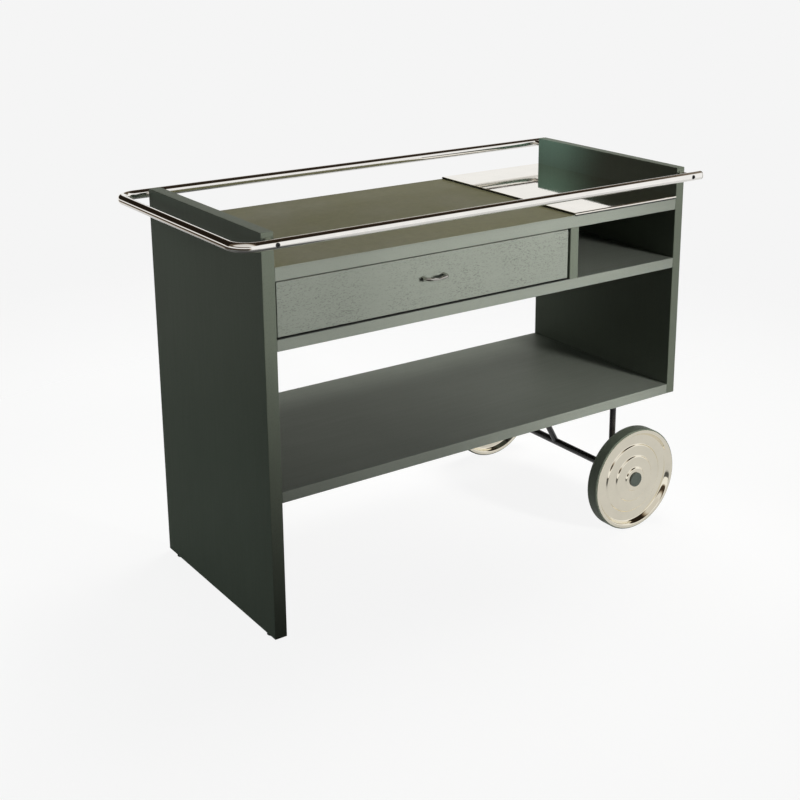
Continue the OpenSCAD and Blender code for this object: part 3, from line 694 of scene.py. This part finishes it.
for i, (before, after) in enumerate(zip(waves, waves[1:]), start=1):
    extrude_by((grip / GRIP_PARTS, 0, SAG * (before - after)))
    ring = Vector((grip_start + grip * i / GRIP_PARTS, grip_y, pull_z - SAG * after))
    slimmer = (PULL_RADIUS - WAIST * after) / (PULL_RADIUS - WAIST * before)
    bpy.ops.transform.resize(value=(1, slimmer, slimmer), center_override=ring)
bend_by((grip_end, grip_y + PULL_BEND, pull_z), (0, 0, 1), -quarter, PULL_BEND_STEPS)
extrude_by((0, leg, 0))
close_mesh(pull, "drawer_bow_pull")
finish_piece(pull, "drawer", dark_nickel, "plated", "drawer_pull", degrees=40)
print("pull in mm:", [round(v * 1000, 1) for v in pull.dimensions])

# %% [markdown]
# ## Tray plate
# The bright plate over the right part of the top is one thin sheet. It stands on two bars, a
# little above the lining, so that a dark gap shows along its left edge and a gap under its
# rolled front edge. A flat plane is the top, because a bent sheet has an even thickness, which
# a shaped block doesn't give. Its front and back borders are spun round the roll and drawn
# down, and a Solidify gives the sheet its thickness. Their lips end a little above the board,
# and black strips under them darken that gap as painted shade.

# %% Choosing by a test
def choose(piece, element, test):
    """In edit mode, select only the vertices, edges or faces that pass the test."""
    bpy.ops.object.mode_set(mode="EDIT")
    bpy.ops.mesh.select_all(action="DESELECT")
    bpy.ops.mesh.select_mode(type=element)
    bpy.ops.object.mode_set(mode="OBJECT")
    mesh = piece.data
    items = {"VERT": mesh.vertices, "EDGE": mesh.edges, "FACE": mesh.polygons}[element]
    for item in items:
        item.select = test(mesh, item)
    bpy.ops.object.mode_set(mode="EDIT")


def edge_ends(mesh, edge):
    """The two ends of an edge."""
    return [mesh.vertices[i].co for i in edge.vertices]


# %% Tray plate
SHARP = math.radians(60)
SHEET = 1.0 * MM
ROLL = 3 * MM
ROLL_STEPS = 10
LIP = 3.1 * MM
tray_low, tray_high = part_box("tray_plate")
board_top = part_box("top_board")[1].z
lip_end = tray_high.z - LIP
flat_y = tray_high.y - ROLL
pick()
bpy.ops.mesh.primitive_plane_add(
    size=1, location=((tray_low.x + tray_high.x) / 2, 0, tray_high.z))
bpy.context.object.scale = (tray_high.x - tray_low.x, 2 * flat_y, 1)
tray = settle(bpy.context.object, "tray_plate_sheet")
for side in (-1, 1):
    choose(tray, "EDGE", lambda mesh, edge: all(
        abs(co.y - side * flat_y) < 0.1 * MM for co in edge_ends(mesh, edge)))
    bend_by((0, side * flat_y, tray_high.z - ROLL), (1, 0, 0), side * quarter, ROLL_STEPS)
    extrude_by((0, 0, lip_end - (tray_high.z - ROLL)))
close_mesh(tray, "tray_plate_sheet")
if sum(face.normal.z for face in tray.data.polygons) < 0:
    edit_all(tray)
    bpy.ops.mesh.flip_normals()
    bpy.ops.object.mode_set(mode="OBJECT")
apply_modifier(tray, "SOLIDIFY", thickness=SHEET, offset=-1, use_even_offset=True)
apply_modifier(tray, "BEVEL", width=SHEET / 4, segments=2, limit_method="ANGLE",
               angle_limit=SHARP)
print("sheet:", triangles(tray), "triangles")

# %% [markdown]
# The two bars end a little behind the board's edges, so that they don't show from the front.

# %% Bars under the tray plate
BAR = 3 * MM
BAR_INSET = 12 * MM
BAR_EDGE = 0.5 * MM
bar_end = abs(panel_front) - BAR
bars = []
for x in (tray_low.x + BAR_INSET, tray_high.x - BAR_INSET - BAR):
    bar = block("bar", Vector((x, -bar_end, board_top)),
                Vector((x + BAR, bar_end, tray_high.z - SHEET)))
    apply_modifier(bar, "BEVEL", width=BAR_EDGE, segments=2, limit_method="ANGLE")
    bars.append(bar)
tray = joined([tray, *bars], "tray_plate_sheet")
finish_piece(tray, "carcass", tray_nickel, "plated", "tray_plate", degrees=40)
print("tray plate box in mm:", [round(v * 1000, 1) for v in tray.dimensions])

# %% [markdown]
# Under each rolled edge lies a thin black strip as painted shade: it darkens the gap under the
# bright edge, which the light would otherwise reach. From outside it is only a dark line under
# the bright edge.

# %% Painted shade strips under the rolled edges
STRIP_W = 3 * MM
STRIP_END = 0.5 * MM
STRIP_SETBACK = 0.2 * MM
STRIP_LAP = 0.2 * MM
shade_strip_y = abs(panel_front) - STRIP_SETBACK - STRIP_W / 2
half_shade_strip = Vector((0, STRIP_W / 2, 0))
for side, name in ((-1, "front_tray_strip"), (1, "rear_tray_strip")):
    low_end = Vector((tray_low.x + STRIP_END, side * shade_strip_y, board_top))
    high_end = Vector((tray_high.x - STRIP_END, side * shade_strip_y, lip_end + STRIP_LAP))
    # Each strip is a black piece that stands in for the shadow under the rolled edge: painted
    # shade.
    strip = block(name, low_end - half_shade_strip, high_end + half_shade_strip)
    apply_modifier(strip, "BEVEL", width=THIN_EASE, segments=2, limit_method="ANGLE")
    finish_piece(strip, "carcass", dark_plastic, "glide_plastic")
    print(name, [round(v * 1000, 1) for v in strip.dimensions], "mm")

# %% [markdown]
# ## Wheels
# Each wheel is a pressed and plated disc on each side, a rubber tyre between them and a small
# cap over the screw of the axle. The disc has a flat edge, a steep curved wall inside it and
# three round steps that rise to the hub. The wall and the steps mirror the whole studio in
# narrow bands, so their section is drawn with many points. Depths are counted from the
# wheel's outer face.

# %% Wheel sizes
FLANGE_R = 93 * MM
WALL_R = 85 * MM
PLATE_DEPTH = 9 * MM
RING_RADII = [23 * MM, 45 * MM, 67 * MM]
RING_HEIGHT = 2.8 * MM
RING_WIDTH = 4 * MM
RING_PARTS = 12
WALL_PARTS = 24
DISC_SHEET = 1.2 * MM
HUB_HOLE_R = 12 * MM
HUB_FLAT_R = 17 * MM
PLATE_FLAT_R = 76 * MM
DISC_EDGE = 0.5 * MM
disc_low, disc_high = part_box("front_disc_outer")
hub = Vector(((disc_low.x + disc_high.x) / 2, disc_low.y, (disc_low.z + disc_high.z) / 2))
disc_radius = (disc_high.x - disc_low.x) / 2
wheel_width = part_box("front_disc_inner")[1].y - disc_low.y
print("wheel hub at", [round(v * 1000, 1) for v in hub], "width", round(wheel_width * 1000, 1))


def smooth(part):
    """A smooth step from 0 to 1."""
    return (1 - math.cos(math.pi * min(1.0, max(0.0, part)))) / 2


def disc_depth(radius):
    """Depth of the disc's outer surface at this radius."""
    wall = PLATE_DEPTH * (1 - smooth((radius - WALL_R) / (FLANGE_R - WALL_R)))
    steps = [smooth((ring + RING_WIDTH / 2 - radius) / RING_WIDTH) for ring in RING_RADII]
    return wall - RING_HEIGHT * sum(steps)


# %% Discs
radii = [HUB_HOLE_R, HUB_FLAT_R]
for ring in RING_RADII:
    radii += [ring + RING_WIDTH * (i / RING_PARTS - 0.5) for i in range(RING_PARTS + 1)]
radii += [PLATE_FLAT_R]
radii += [WALL_R + (FLANGE_R - WALL_R) * i / WALL_PARTS for i in range(WALL_PARTS + 1)]
outer_side = [(r, disc_depth(r)) for r in radii]
outer_side += arc((disc_radius - DISC_EDGE, DISC_EDGE), DISC_EDGE, -90, 0, 5)
inner_side = [(disc_radius, DISC_SHEET)]
inner_side += [(r, disc_depth(r) + DISC_SHEET) for r in reversed(radii)]
section = outer_side + inner_side + [outer_side[0]]
front_disc = turned("front_disc_outer_pressed", section, hub, along_y, along_x)
print("disc:", triangles(front_disc), "triangles")

# %% [markdown]
# The tyre fills the space between the discs' edges. Its tread is nearly flat, with round
# shoulders. A shallow groove on each side keeps the tread from looking like a plain ring, as
# on a moulded tyre.

# %% Tyre
TYRE_R = 100 * MM
CORE_R = 88 * MM
SHOULDER = 2 * MM
GROOVE_PLACE = 6.5 * MM
GROOVE_WIDTH = 1.0 * MM
GROOVE_DEPTH = 0.35 * MM
SEAT_RADII = [CORE_R, 89 * MM, 90 * MM, 91.5 * MM, FLANGE_R]
half = [(r, disc_depth(r) + DISC_SHEET) for r in SEAT_RADII]
half += arc((TYRE_R - SHOULDER, DISC_SHEET + SHOULDER), SHOULDER, -90, 0, 10)
groove = [(0, -0.5), (GROOVE_DEPTH, -0.25), (GROOVE_DEPTH, 0.25), (0, 0.5)]
half += [(TYRE_R - depth, GROOVE_PLACE + share * GROOVE_WIDTH) for depth, share in groove]
section = half + [(r, wheel_width - depth) for r, depth in reversed(half)] + [half[0]]
front_tyre = turned("front_tyre_moulded", section, hub, along_y, along_x)
print("tyre:", triangles(front_tyre), "triangles")

# %% [markdown]
# The hub cap is a button with a slightly dished face and a round edge. Behind its rim a
# narrower shank goes through the disc's hole. The dish is a few pairs of radius and depth in
# millimetres.

# %% Hub cap
CAP_R = 14 * MM
CAP_EDGE = 0.5 * MM
CAP_SHANK_R = 11.9 * MM
CAP_DISH = [(0, 0.25), (6, 0.2), (10, 0.05), (11.5, 0)]
cap_low, cap_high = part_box("front_hub_cap")
face = cap_low.y - hub.y
shank_end = cap_high.y - hub.y
seat = disc_depth((HUB_FLAT_R + RING_RADII[0]) / 2)
section = [(r * MM, face + depth * MM) for r, depth in CAP_DISH]
section += arc((CAP_R - CAP_EDGE, face + CAP_EDGE), CAP_EDGE, -90, 0, 6)
section += [(CAP_R, seat), (CAP_SHANK_R, seat), (CAP_SHANK_R, shank_end), (0, shank_end)]
front_cap = turned("front_hub_cap_button", section, hub, along_y, along_x, steps=96)
print("cap:", triangles(front_cap), "triangles")


# %% [markdown]
# The inner disc is the outer one seen in a mirror, and the rear wheel mirrors the front one.
# A mirrored copy is scaled by minus one in edit mode about the mirror's plane, and its faces
# are turned outwards again.

# %% Mirrored copies
def mirrored(piece, name, plane_y):
    """A copy of a piece in a mirror at this y, with its own mesh."""
    pick(piece)
    bpy.ops.object.duplicate(linked=False)
    copy = bpy.context.object
    edit_all(copy)
    bpy.ops.transform.resize(value=(1, -1, 1), center_override=(0, plane_y, 0))
    bpy.ops.mesh.normals_make_consistent(inside=False)
    bpy.ops.object.mode_set(mode="OBJECT")
    copy.name = copy.data.name = name
    return copy


front_disc_inner = mirrored(front_disc, "front_disc_inner_pressed", hub.y + wheel_width / 2)
front_set = [(front_disc, "disc_outer"), (front_disc_inner, "disc_inner"),
             (front_tyre, "tyre"), (front_cap, "hub_cap")]
finishes = {"disc_outer": (nickel, "plated"), "disc_inner": (nickel, "plated"),
            "tyre": (rubber, "tyre"), "hub_cap": (cap_finish, "cap_plastic")}
for piece, part in front_set:
    copy = mirrored(piece, piece.name.replace("front", "rear"), 0)
    finish, slot = finishes[part]
    finish_piece(piece, "front_wheel", finish, slot, "front_" + part)
    finish_piece(copy, "rear_wheel", finish, slot, "rear_" + part)
print("both wheels are made")

# %% [markdown]
# ## Running gear
# A black axle carries both wheels. Two struts and a slanting stay join it to the shelf, each
# with a square foot plate. The plates are cut with round corners, and the rods flare a little
# where they are welded on.

# %% Axle
axle_low, axle_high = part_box("axle")
AXLE_R = (axle_high.z - axle_low.z) / 2
STUB_R = 5 * MM
STUB_EDGE = 0.6 * MM
AXLE_EDGE = 0.8 * MM
WHEEL_PLAY = 0.5 * MM
shoulder_y = hub.y + wheel_width + WHEEL_PLAY
middle = Vector((hub.x, 0, hub.z))
half = [(0, axle_low.y), (STUB_R - STUB_EDGE, axle_low.y), (STUB_R, axle_low.y + STUB_EDGE),
        (STUB_R, shoulder_y), (AXLE_R - AXLE_EDGE, shoulder_y),
        (AXLE_R - AXLE_EDGE / 4, shoulder_y + AXLE_EDGE / 4), (AXLE_R, shoulder_y + AXLE_EDGE)]
section = half + [(r, -along) for r, along in reversed(half)]
axle = turned("axle_turned", section, middle, along_y, along_x, steps=64)
finish_piece(axle, "carcass", enamel, "black_steel", "axle")
print("axle:", triangles(axle), "triangles")

# %% [markdown]
# The rods are turned too, from the axle up to their foot plates, and end in a flare like a
# weld. The slanting stay is cut level with its foot plate by a bisect, which also fills the
# cut.

# %% Struts and stay
ROD_R = 6 * MM
WELD = 2.2 * MM
WELD_LENGTH = 2.5 * WELD
WELD_PARTS = 6
PLATE = 44 * MM
plate_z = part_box("foot_plates")[0].z


def rod(name, foot, top):
    """A round rod from the axle to its foot plate, with a weld fillet at the top."""
    length = (top - foot).length
    flare = length - WELD_LENGTH
    section = [(0, 0.0), (ROD_R, 0.0), (ROD_R, flare)]
    for i in range(1, WELD_PARTS + 1):
        turn = quarter * i / WELD_PARTS
        section.append((ROD_R + WELD * (1 - math.cos(turn)), flare + WELD_LENGTH * math.sin(turn)))
    section.append((0, length))
    direction = (top - foot).normalized()
    side = direction.orthogonal().normalized()
    return turned(name, section, foot, direction, side, steps=48)


strut_y = (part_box("front_strut")[0].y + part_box("front_strut")[1].y) / 2
for node, y in (("front_strut", strut_y), ("rear_strut", -strut_y)):
    piece = rod(node + "_rod", Vector((hub.x, y, hub.z)), Vector((hub.x, y, plate_z)))
    finish_piece(piece, "carcass", enamel, "black_steel", node)
stay_foot_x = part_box("foot_plates")[0].x + PLATE / 2
stay = rod("stay_rod", Vector((hub.x, 0, hub.z)), Vector((stay_foot_x, 0, plate_z)))
edit_all(stay)
bpy.ops.mesh.bisect(plane_co=(0, 0, plate_z), plane_no=(0, 0, 1), use_fill=True,
                    clear_outer=True)
bpy.ops.object.mode_set(mode="OBJECT")
finish_piece(stay, "carcass", enamel, "black_steel", "stay")
print("stay:", triangles(stay), "triangles")

# %% [markdown]
# A foot plate is a square block. Its four upright edges are found by their height and bevelled
# widely, and then the outlines of both broad faces are bevelled a little.

# %% Foot plates
PLATE_CORNER = 5 * MM
PLATE_EDGE = 0.4 * MM
shelf_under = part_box("lower_shelf")[0].z
half_plate = Vector((PLATE / 2, PLATE / 2, 0))
plates = []
for x, y in ((hub.x, strut_y), (hub.x, -strut_y), (stay_foot_x, 0)):
    plate = block("plate", Vector((x, y, plate_z)) - half_plate,
                  Vector((x, y, shelf_under)) + half_plate)
    choose(plate, "EDGE", lambda mesh, edge: abs(edge_ends(mesh, edge)[0].z
                                                 - edge_ends(mesh, edge)[1].z) > MM)
    bpy.ops.mesh.bevel(offset=PLATE_CORNER, segments=8, affect="EDGES")
    choose(plate, "FACE", lambda mesh, face: abs(face.normal.z) > 0.9)
    bpy.ops.mesh.region_to_loop()
    bpy.ops.mesh.bevel(offset=PLATE_EDGE, segments=2, affect="EDGES")
    bpy.ops.object.mode_set(mode="OBJECT")
    plates.append(plate)
feet = joined(plates, "foot_plates_cut")
finish_piece(feet, "carcass", enamel, "black_steel", "foot_plates")
print("foot plates:", triangles(feet), "triangles")

# %% [markdown]
# ## Pieces that keep their construction shape
# Screws, runners, the drawer's inner boards and the wheel's inner parts have few details
# beyond their construction. The boards get a copy with eased edges, and the rest get only
# their finish.

# %% Eased copies of the drawer's boards
DRAWER_EASE = 0.6 * MM
RUNNER_EASE = 0.5 * MM


def eased_copy(node, body, finish, slot, width):
    """A copy of a construction piece with merged points and eased edges."""
    pick(nodes[node])
    bpy.ops.object.duplicate(linked=False)
    copy = settle(bpy.context.object, node + "_eased")
    edit_all(copy)
    bpy.ops.mesh.remove_doubles(threshold=MERGE)
    bpy.ops.mesh.dissolve_limited(angle_limit=math.radians(1))
    bpy.ops.object.mode_set(mode="OBJECT")
    apply_modifier(copy, "BEVEL", width=width, segments=3, limit_method="ANGLE",
                   angle_limit=SHARP)
    finish_piece(copy, body, finish, slot, node)
    print(copy.name, triangles(copy), "triangles")


for node in ("drawer_side_left", "drawer_side_right"):
    eased_copy(node, "drawer", beech_y, "beech", DRAWER_EASE)
eased_copy("drawer_back", "drawer", beech_x, "beech", DRAWER_EASE)
for node in ("runner_left", "runner_right"):
    eased_copy(node, "carcass", beech_y, "beech", RUNNER_EASE)
eased_copy("drawer_stop", "carcass", beech_x, "beech", RUNNER_EASE)

# %% [markdown]
# The other pieces keep their construction mesh. A new finish goes into the first slot of each.

# %% Finishes of the other construction pieces
kept = {
    "drawer_bottom": beech_x, "drawer_dowels": beech_x, "carcass_dowels": beech_x,
    "pull_screws": zinc, "runner_screws": zinc, "stop_screw": zinc, "rail_screws": blued,
    "plate_screws": enamel, "axle_washers": zinc, "axle_screws": zinc,
    "panel_glides": dark_plastic, "front_core": dark_plastic, "rear_core": dark_plastic,
    "front_bush": bush_bronze, "rear_bush": bush_bronze,
}
for node, finish in kept.items():
    piece = nodes[node]
    piece.data.materials.clear()
    piece.data.materials.append(finish)
print(len(kept), "construction pieces have a finish")

# %% [markdown]
# ## Surroundings
# The trolley stands in a white studio. The floor takes its shadow and fades out into the
# background, and the world shows the camera a plain white while it lights the scene only
# softly. Light Path tells which kind of ray asks, so each can get its own answer.

# %% Helpers for the surroundings
def arithmetic(tree, operation, first, second):
    """One arithmetic node over two outputs or numbers."""
    node = tree.nodes.new("ShaderNodeMath")
    node.operation = operation
    for socket, value in zip(node.inputs, (first, second)):
        if isinstance(value, (int, float)):
            socket.default_value = value
        else:
            tree.links.new(value, socket)
    return node.outputs["Value"]


def multiply(tree, first, second):
    """The product of two outputs or numbers."""
    return arithmetic(tree, "MULTIPLY", first, second)


def maximum(tree, first, second):
    """The larger of two outputs or numbers."""
    return arithmetic(tree, "MAXIMUM", first, second)


def ray_kinds(tree):
    """Two outputs: 1 for rays of the camera or through glass, and 1 for reflections."""
    rays = tree.nodes.new("ShaderNodeLightPath")
    direct = maximum(tree, rays.outputs["Is Camera Ray"], rays.outputs["Is Transmission Ray"])
    return direct, rays.outputs["Is Glossy Ray"]


def mix_shaders(tree, amount, first, second):
    """Mix two shaders by an output."""
    mixed = tree.nodes.new("ShaderNodeMixShader")
    tree.links.new(amount, mixed.inputs["Fac"])
    tree.links.new(first, mixed.inputs[1])
    tree.links.new(second, mixed.inputs[2])
    return mixed.outputs["Shader"]


def map_range(tree, value, start, end, low=0.0, high=1.0):
    """A smooth change from low to high while the value goes from start to end."""
    node = tree.nodes.new("ShaderNodeMapRange")
    node.interpolation_type = "SMOOTHSTEP"
    limits = {"From Min": start, "From Max": end, "To Min": low, "To Max": high}
    for socket, number in limits.items():
        node.inputs[socket].default_value = number
    tree.links.new(value, node.inputs["Value"])
    return node.outputs["Result"]


# %% [markdown]
# The camera sees a grey floor that takes the shadow, with a glow that lifts it to white.
# Scattered light meets a plain grey one. The metal sees less of the glow, and hardly any at
# the left, where the photograph's metal mirrors a dark floor: that darker glow at the left is
# painted shade, seen only in reflections. Further out the floor fades into the background.

# %% Floor
FLOOR_RADIUS = 3.0
FLOOR_GLOW = 0.888
GLOW_STOPS = (0.02, 0.17)
GLOW_SHARES = (0.06, 0.64)
FADE_STOPS = (0.7, 2.2)
pick()
bpy.ops.mesh.primitive_circle_add(vertices=96, radius=FLOOR_RADIUS, fill_type="NGON",
                                  location=(0, 0, 0))
floor = bpy.context.object
floor.name = "studio_floor"
floor_finish, tree, surface = new_material("studio floor", grey(0.14), 0.9)
surface.inputs["Specular IOR Level"].default_value = 0.0
surface.inputs["Emission Color"].default_value = (1, 1, 1, 1)
scattered = tree.nodes.new("ShaderNodeBsdfDiffuse")
scattered.inputs["Color"].default_value = (*grey(0.30), 1)
place = tree.nodes.new("ShaderNodeTexCoord")
parts = tree.nodes.new("ShaderNodeSeparateXYZ")
tree.links.new(place.outputs["Object"], parts.inputs["Vector"])
# Reflections see the glow darker at the left: painted shade of the floor.
share = map_range(tree, parts.outputs["X"], *GLOW_STOPS, *GLOW_SHARES)
direct, glossy = ray_kinds(tree)
mirrored_glow_painted_shade = multiply(tree, glossy, share)
glow = multiply(tree, maximum(tree, direct, mirrored_glow_painted_shade), FLOOR_GLOW)
tree.links.new(glow, surface.inputs["Emission Strength"])
away = tree.nodes.new("ShaderNodeVectorMath")
away.operation = "LENGTH"
tree.links.new(place.outputs["Object"], away.inputs[0])
fade = map_range(tree, away.outputs["Value"], *FADE_STOPS)
clear = tree.nodes.new("ShaderNodeBsdfTransparent")
seen = maximum(tree, direct, glossy)
body = mix_shaders(tree, seen, scattered.outputs["BSDF"], surface.outputs["BSDF"])
mixed = mix_shaders(tree, fade, body, clear.outputs["BSDF"])
tree.links.new(mixed, tree.nodes["Material Output"].inputs["Surface"])
floor.data.materials.append(floor_finish)
print("floor of radius", FLOOR_RADIUS, "m")

# %% [markdown]
# A world's own light comes from all sides. It is kept weak, so that it only lifts the shadows.

# %% World
AMBIENT = 0.07
world = bpy.data.worlds.new("studio")
bpy.context.scene.world = world
world.use_nodes = True
tree = world.node_tree
ambient = tree.nodes["Background"]
ambient.inputs["Color"].default_value = (0.92, 1.0, 0.95, 1)
ambient.inputs["Strength"].default_value = AMBIENT
print("ambient light:", AMBIENT)

# %% [markdown]
# Polished metal shows its surroundings more than itself, and a studio isn't white all round:
# the ceiling is dark, and so are the far left and the space behind. These dark parts draw the
# brown lines along the rail and the patches in the wheels. Each is a product of smooth changes
# over the ray's direction, where x is 1 to the right, y is 1 to the back and z is 1 upwards.

# %% Dark parts of the studio
place = tree.nodes.new("ShaderNodeTexCoord")
parts = tree.nodes.new("ShaderNodeSeparateXYZ")
tree.links.new(place.outputs["Generated"], parts.inputs["Vector"])
x, y, z = (parts.outputs[axis] for axis in "XYZ")

behind = map_range(tree, y, 0.35, 0.55)
ceiling = map_range(tree, z, 0.62, 0.72, 0.0, 0.97)
not_left = map_range(tree, x, -0.05, 0.25, 0.25, 1.0)
dark_above = multiply(tree, ceiling, maximum(tree, not_left, behind))

leftward = map_range(tree, x, -0.15, -0.42, 0.0, 0.93)
near_floor = map_range(tree, z, -0.10, -0.03, 1.0, 0.0)
over_strip = map_range(tree, z, 0.20, 0.30)
under_ceiling = map_range(tree, z, 0.42, 0.60, 1.0, 0.2)
strip = multiply(tree, over_strip, under_ceiling)
dark_left = multiply(tree, leftward, maximum(tree, near_floor, strip))

high_behind = map_range(tree, z, 0.27, 0.36, 0.0, 0.86)
warm_behind = multiply(tree, map_range(tree, y, 0.15, 0.30), high_behind)

not_right = map_range(tree, x, 0.24, 0.34, 0.98, 0.0)
over_horizon = map_range(tree, z, 0.06, 0.16)
dark_behind = multiply(tree, multiply(tree, behind, not_right), over_horizon)

sideways = maximum(tree, dark_left, dark_behind)
upwards = maximum(tree, dark_above, warm_behind)
bright = arithmetic(tree, "SUBTRACT", 1.0, maximum(tree, sideways, upwards))
print("dark parts: ceiling, left, and two behind")

# %% [markdown]
# The camera gets the plain white, reflections get the studio with its dark parts, which turn
# brown as they darken, and scattered light gets only the weak ambient.

# %% Backdrop
WHITE = 0.913
direct, glossy = ray_kinds(tree)
level = multiply(tree, maximum(tree, direct, multiply(tree, bright, glossy)), WHITE)
backdrop = tree.nodes.new("ShaderNodeBackground")
shade = ramp(tree, maximum(tree, direct, bright),
             [(0.0, (0.75, 0.52, 0.34)), (0.35, (0.95, 0.80, 0.62)), (0.85, grey(1.0))])
tree.links.new(shade, backdrop.inputs["Color"])
tree.links.new(level, backdrop.inputs["Strength"])
seen = maximum(tree, direct, glossy)
chosen = mix_shaders(tree, seen, ambient.outputs["Background"], backdrop.outputs["Background"])
tree.links.new(chosen, tree.nodes["World Output"].inputs["Surface"])
print("studio world with a plain white of", WHITE)


# %% [markdown]
# ## Lights
# A key light from the front right lights the long side. Narrow spots with soft edges add what
# it leaves dark: the wheels, the tyre, the left corner and the bay. Two cool ones give the
# panels a blue-green sheen, and wide discs soften the top, the tall panel and the back. No
# reflection shows them, so the metal mirrors only the studio.

# %% Lights
def light(kind, name, place, aim, watts, colour):
    """A light that points from its place at a point and isn't seen in reflections."""
    pick()
    turn = (Vector(aim) - Vector(place)).to_track_quat("-Z", "Y").to_euler()
    bpy.ops.object.light_add(type=kind, location=place, rotation=turn)
    lamp = bpy.context.object
    lamp.name = name
    lamp.visible_glossy = False
    lamp.data.energy = watts
    lamp.data.color = colour
    return lamp


def spot(name, place, aim, watts, degrees, radius, colour=(1, 1, 1)):
    """A spot with a soft edge, whose source has this radius."""
    lamp = light("SPOT", name, place, aim, watts, colour)
    lamp.data.spot_size = math.radians(degrees)
    lamp.data.spot_blend = 1.0
    lamp.data.shadow_soft_size = radius


def wide_disc(name, place, aim, watts, size, colour=(1, 1, 1)):
    """A round area light of this diameter."""
    lamp = light("AREA", name, place, aim, watts, colour)
    lamp.data.shape = "DISK"
    lamp.data.size = size


KEY_PLACE = (0.80, -2.40, 1.00)
spot("key light", KEY_PLACE, aim=(0.05, -0.22, 0.81),
     watts=378, degrees=36, radius=0.25, colour=(1.0, 0.99, 0.965))
spot("light on the wheels", KEY_PLACE, aim=(0.34, -0.22, 0.178),
     watts=400, degrees=12.4, radius=0.25, colour=(1.0, 0.985, 0.955))
wide_disc("high fill", (0.9, 0.5, 2.6), aim=(0, 0, 0.4),
          watts=36, size=1.4, colour=(1.0, 1.0, 0.95))
wide_disc("low light on the tall panel", (-1.25, 0.10, 0.05), aim=(-0.434, -0.02, 0.05),
          watts=1.85, size=0.45, colour=(0.87, 1.0, 0.98))
spot("cool light on the short panel", (-1.4, 0.20, 1.25), aim=(0.446, 0.17, 0.725),
     watts=160, degrees=8, radius=0.08, colour=(0.64, 1.0, 0.96))
spot("cool light on the tall panel", (-1.9, 1.3, 0.95), aim=(-0.434, 0.19, 0.67),
     watts=12, degrees=8, radius=0.1, colour=(0.62, 1.0, 0.82))
spot("low light on the tyre", (-1.3, -2.3, 0.45), aim=(0.30, -0.25, 0.08),
     watts=130, degrees=8, radius=0.15)
spot("light on the left corner", (-0.9, -2.2, 1.0), aim=(-0.476, -0.22, 0.585),
     watts=95, degrees=7.5, radius=0.15)
spot("light through the bay", (-1.4, 1.5, 0.75), aim=(0.446, 0.22, 0.40),
     watts=34, degrees=9, radius=0.12, colour=(0.92, 1.0, 0.93))
wide_disc("low light on the back", (0.6, 2.6, 0.18), aim=(0, 0.2, 0.45), watts=25, size=0.8)
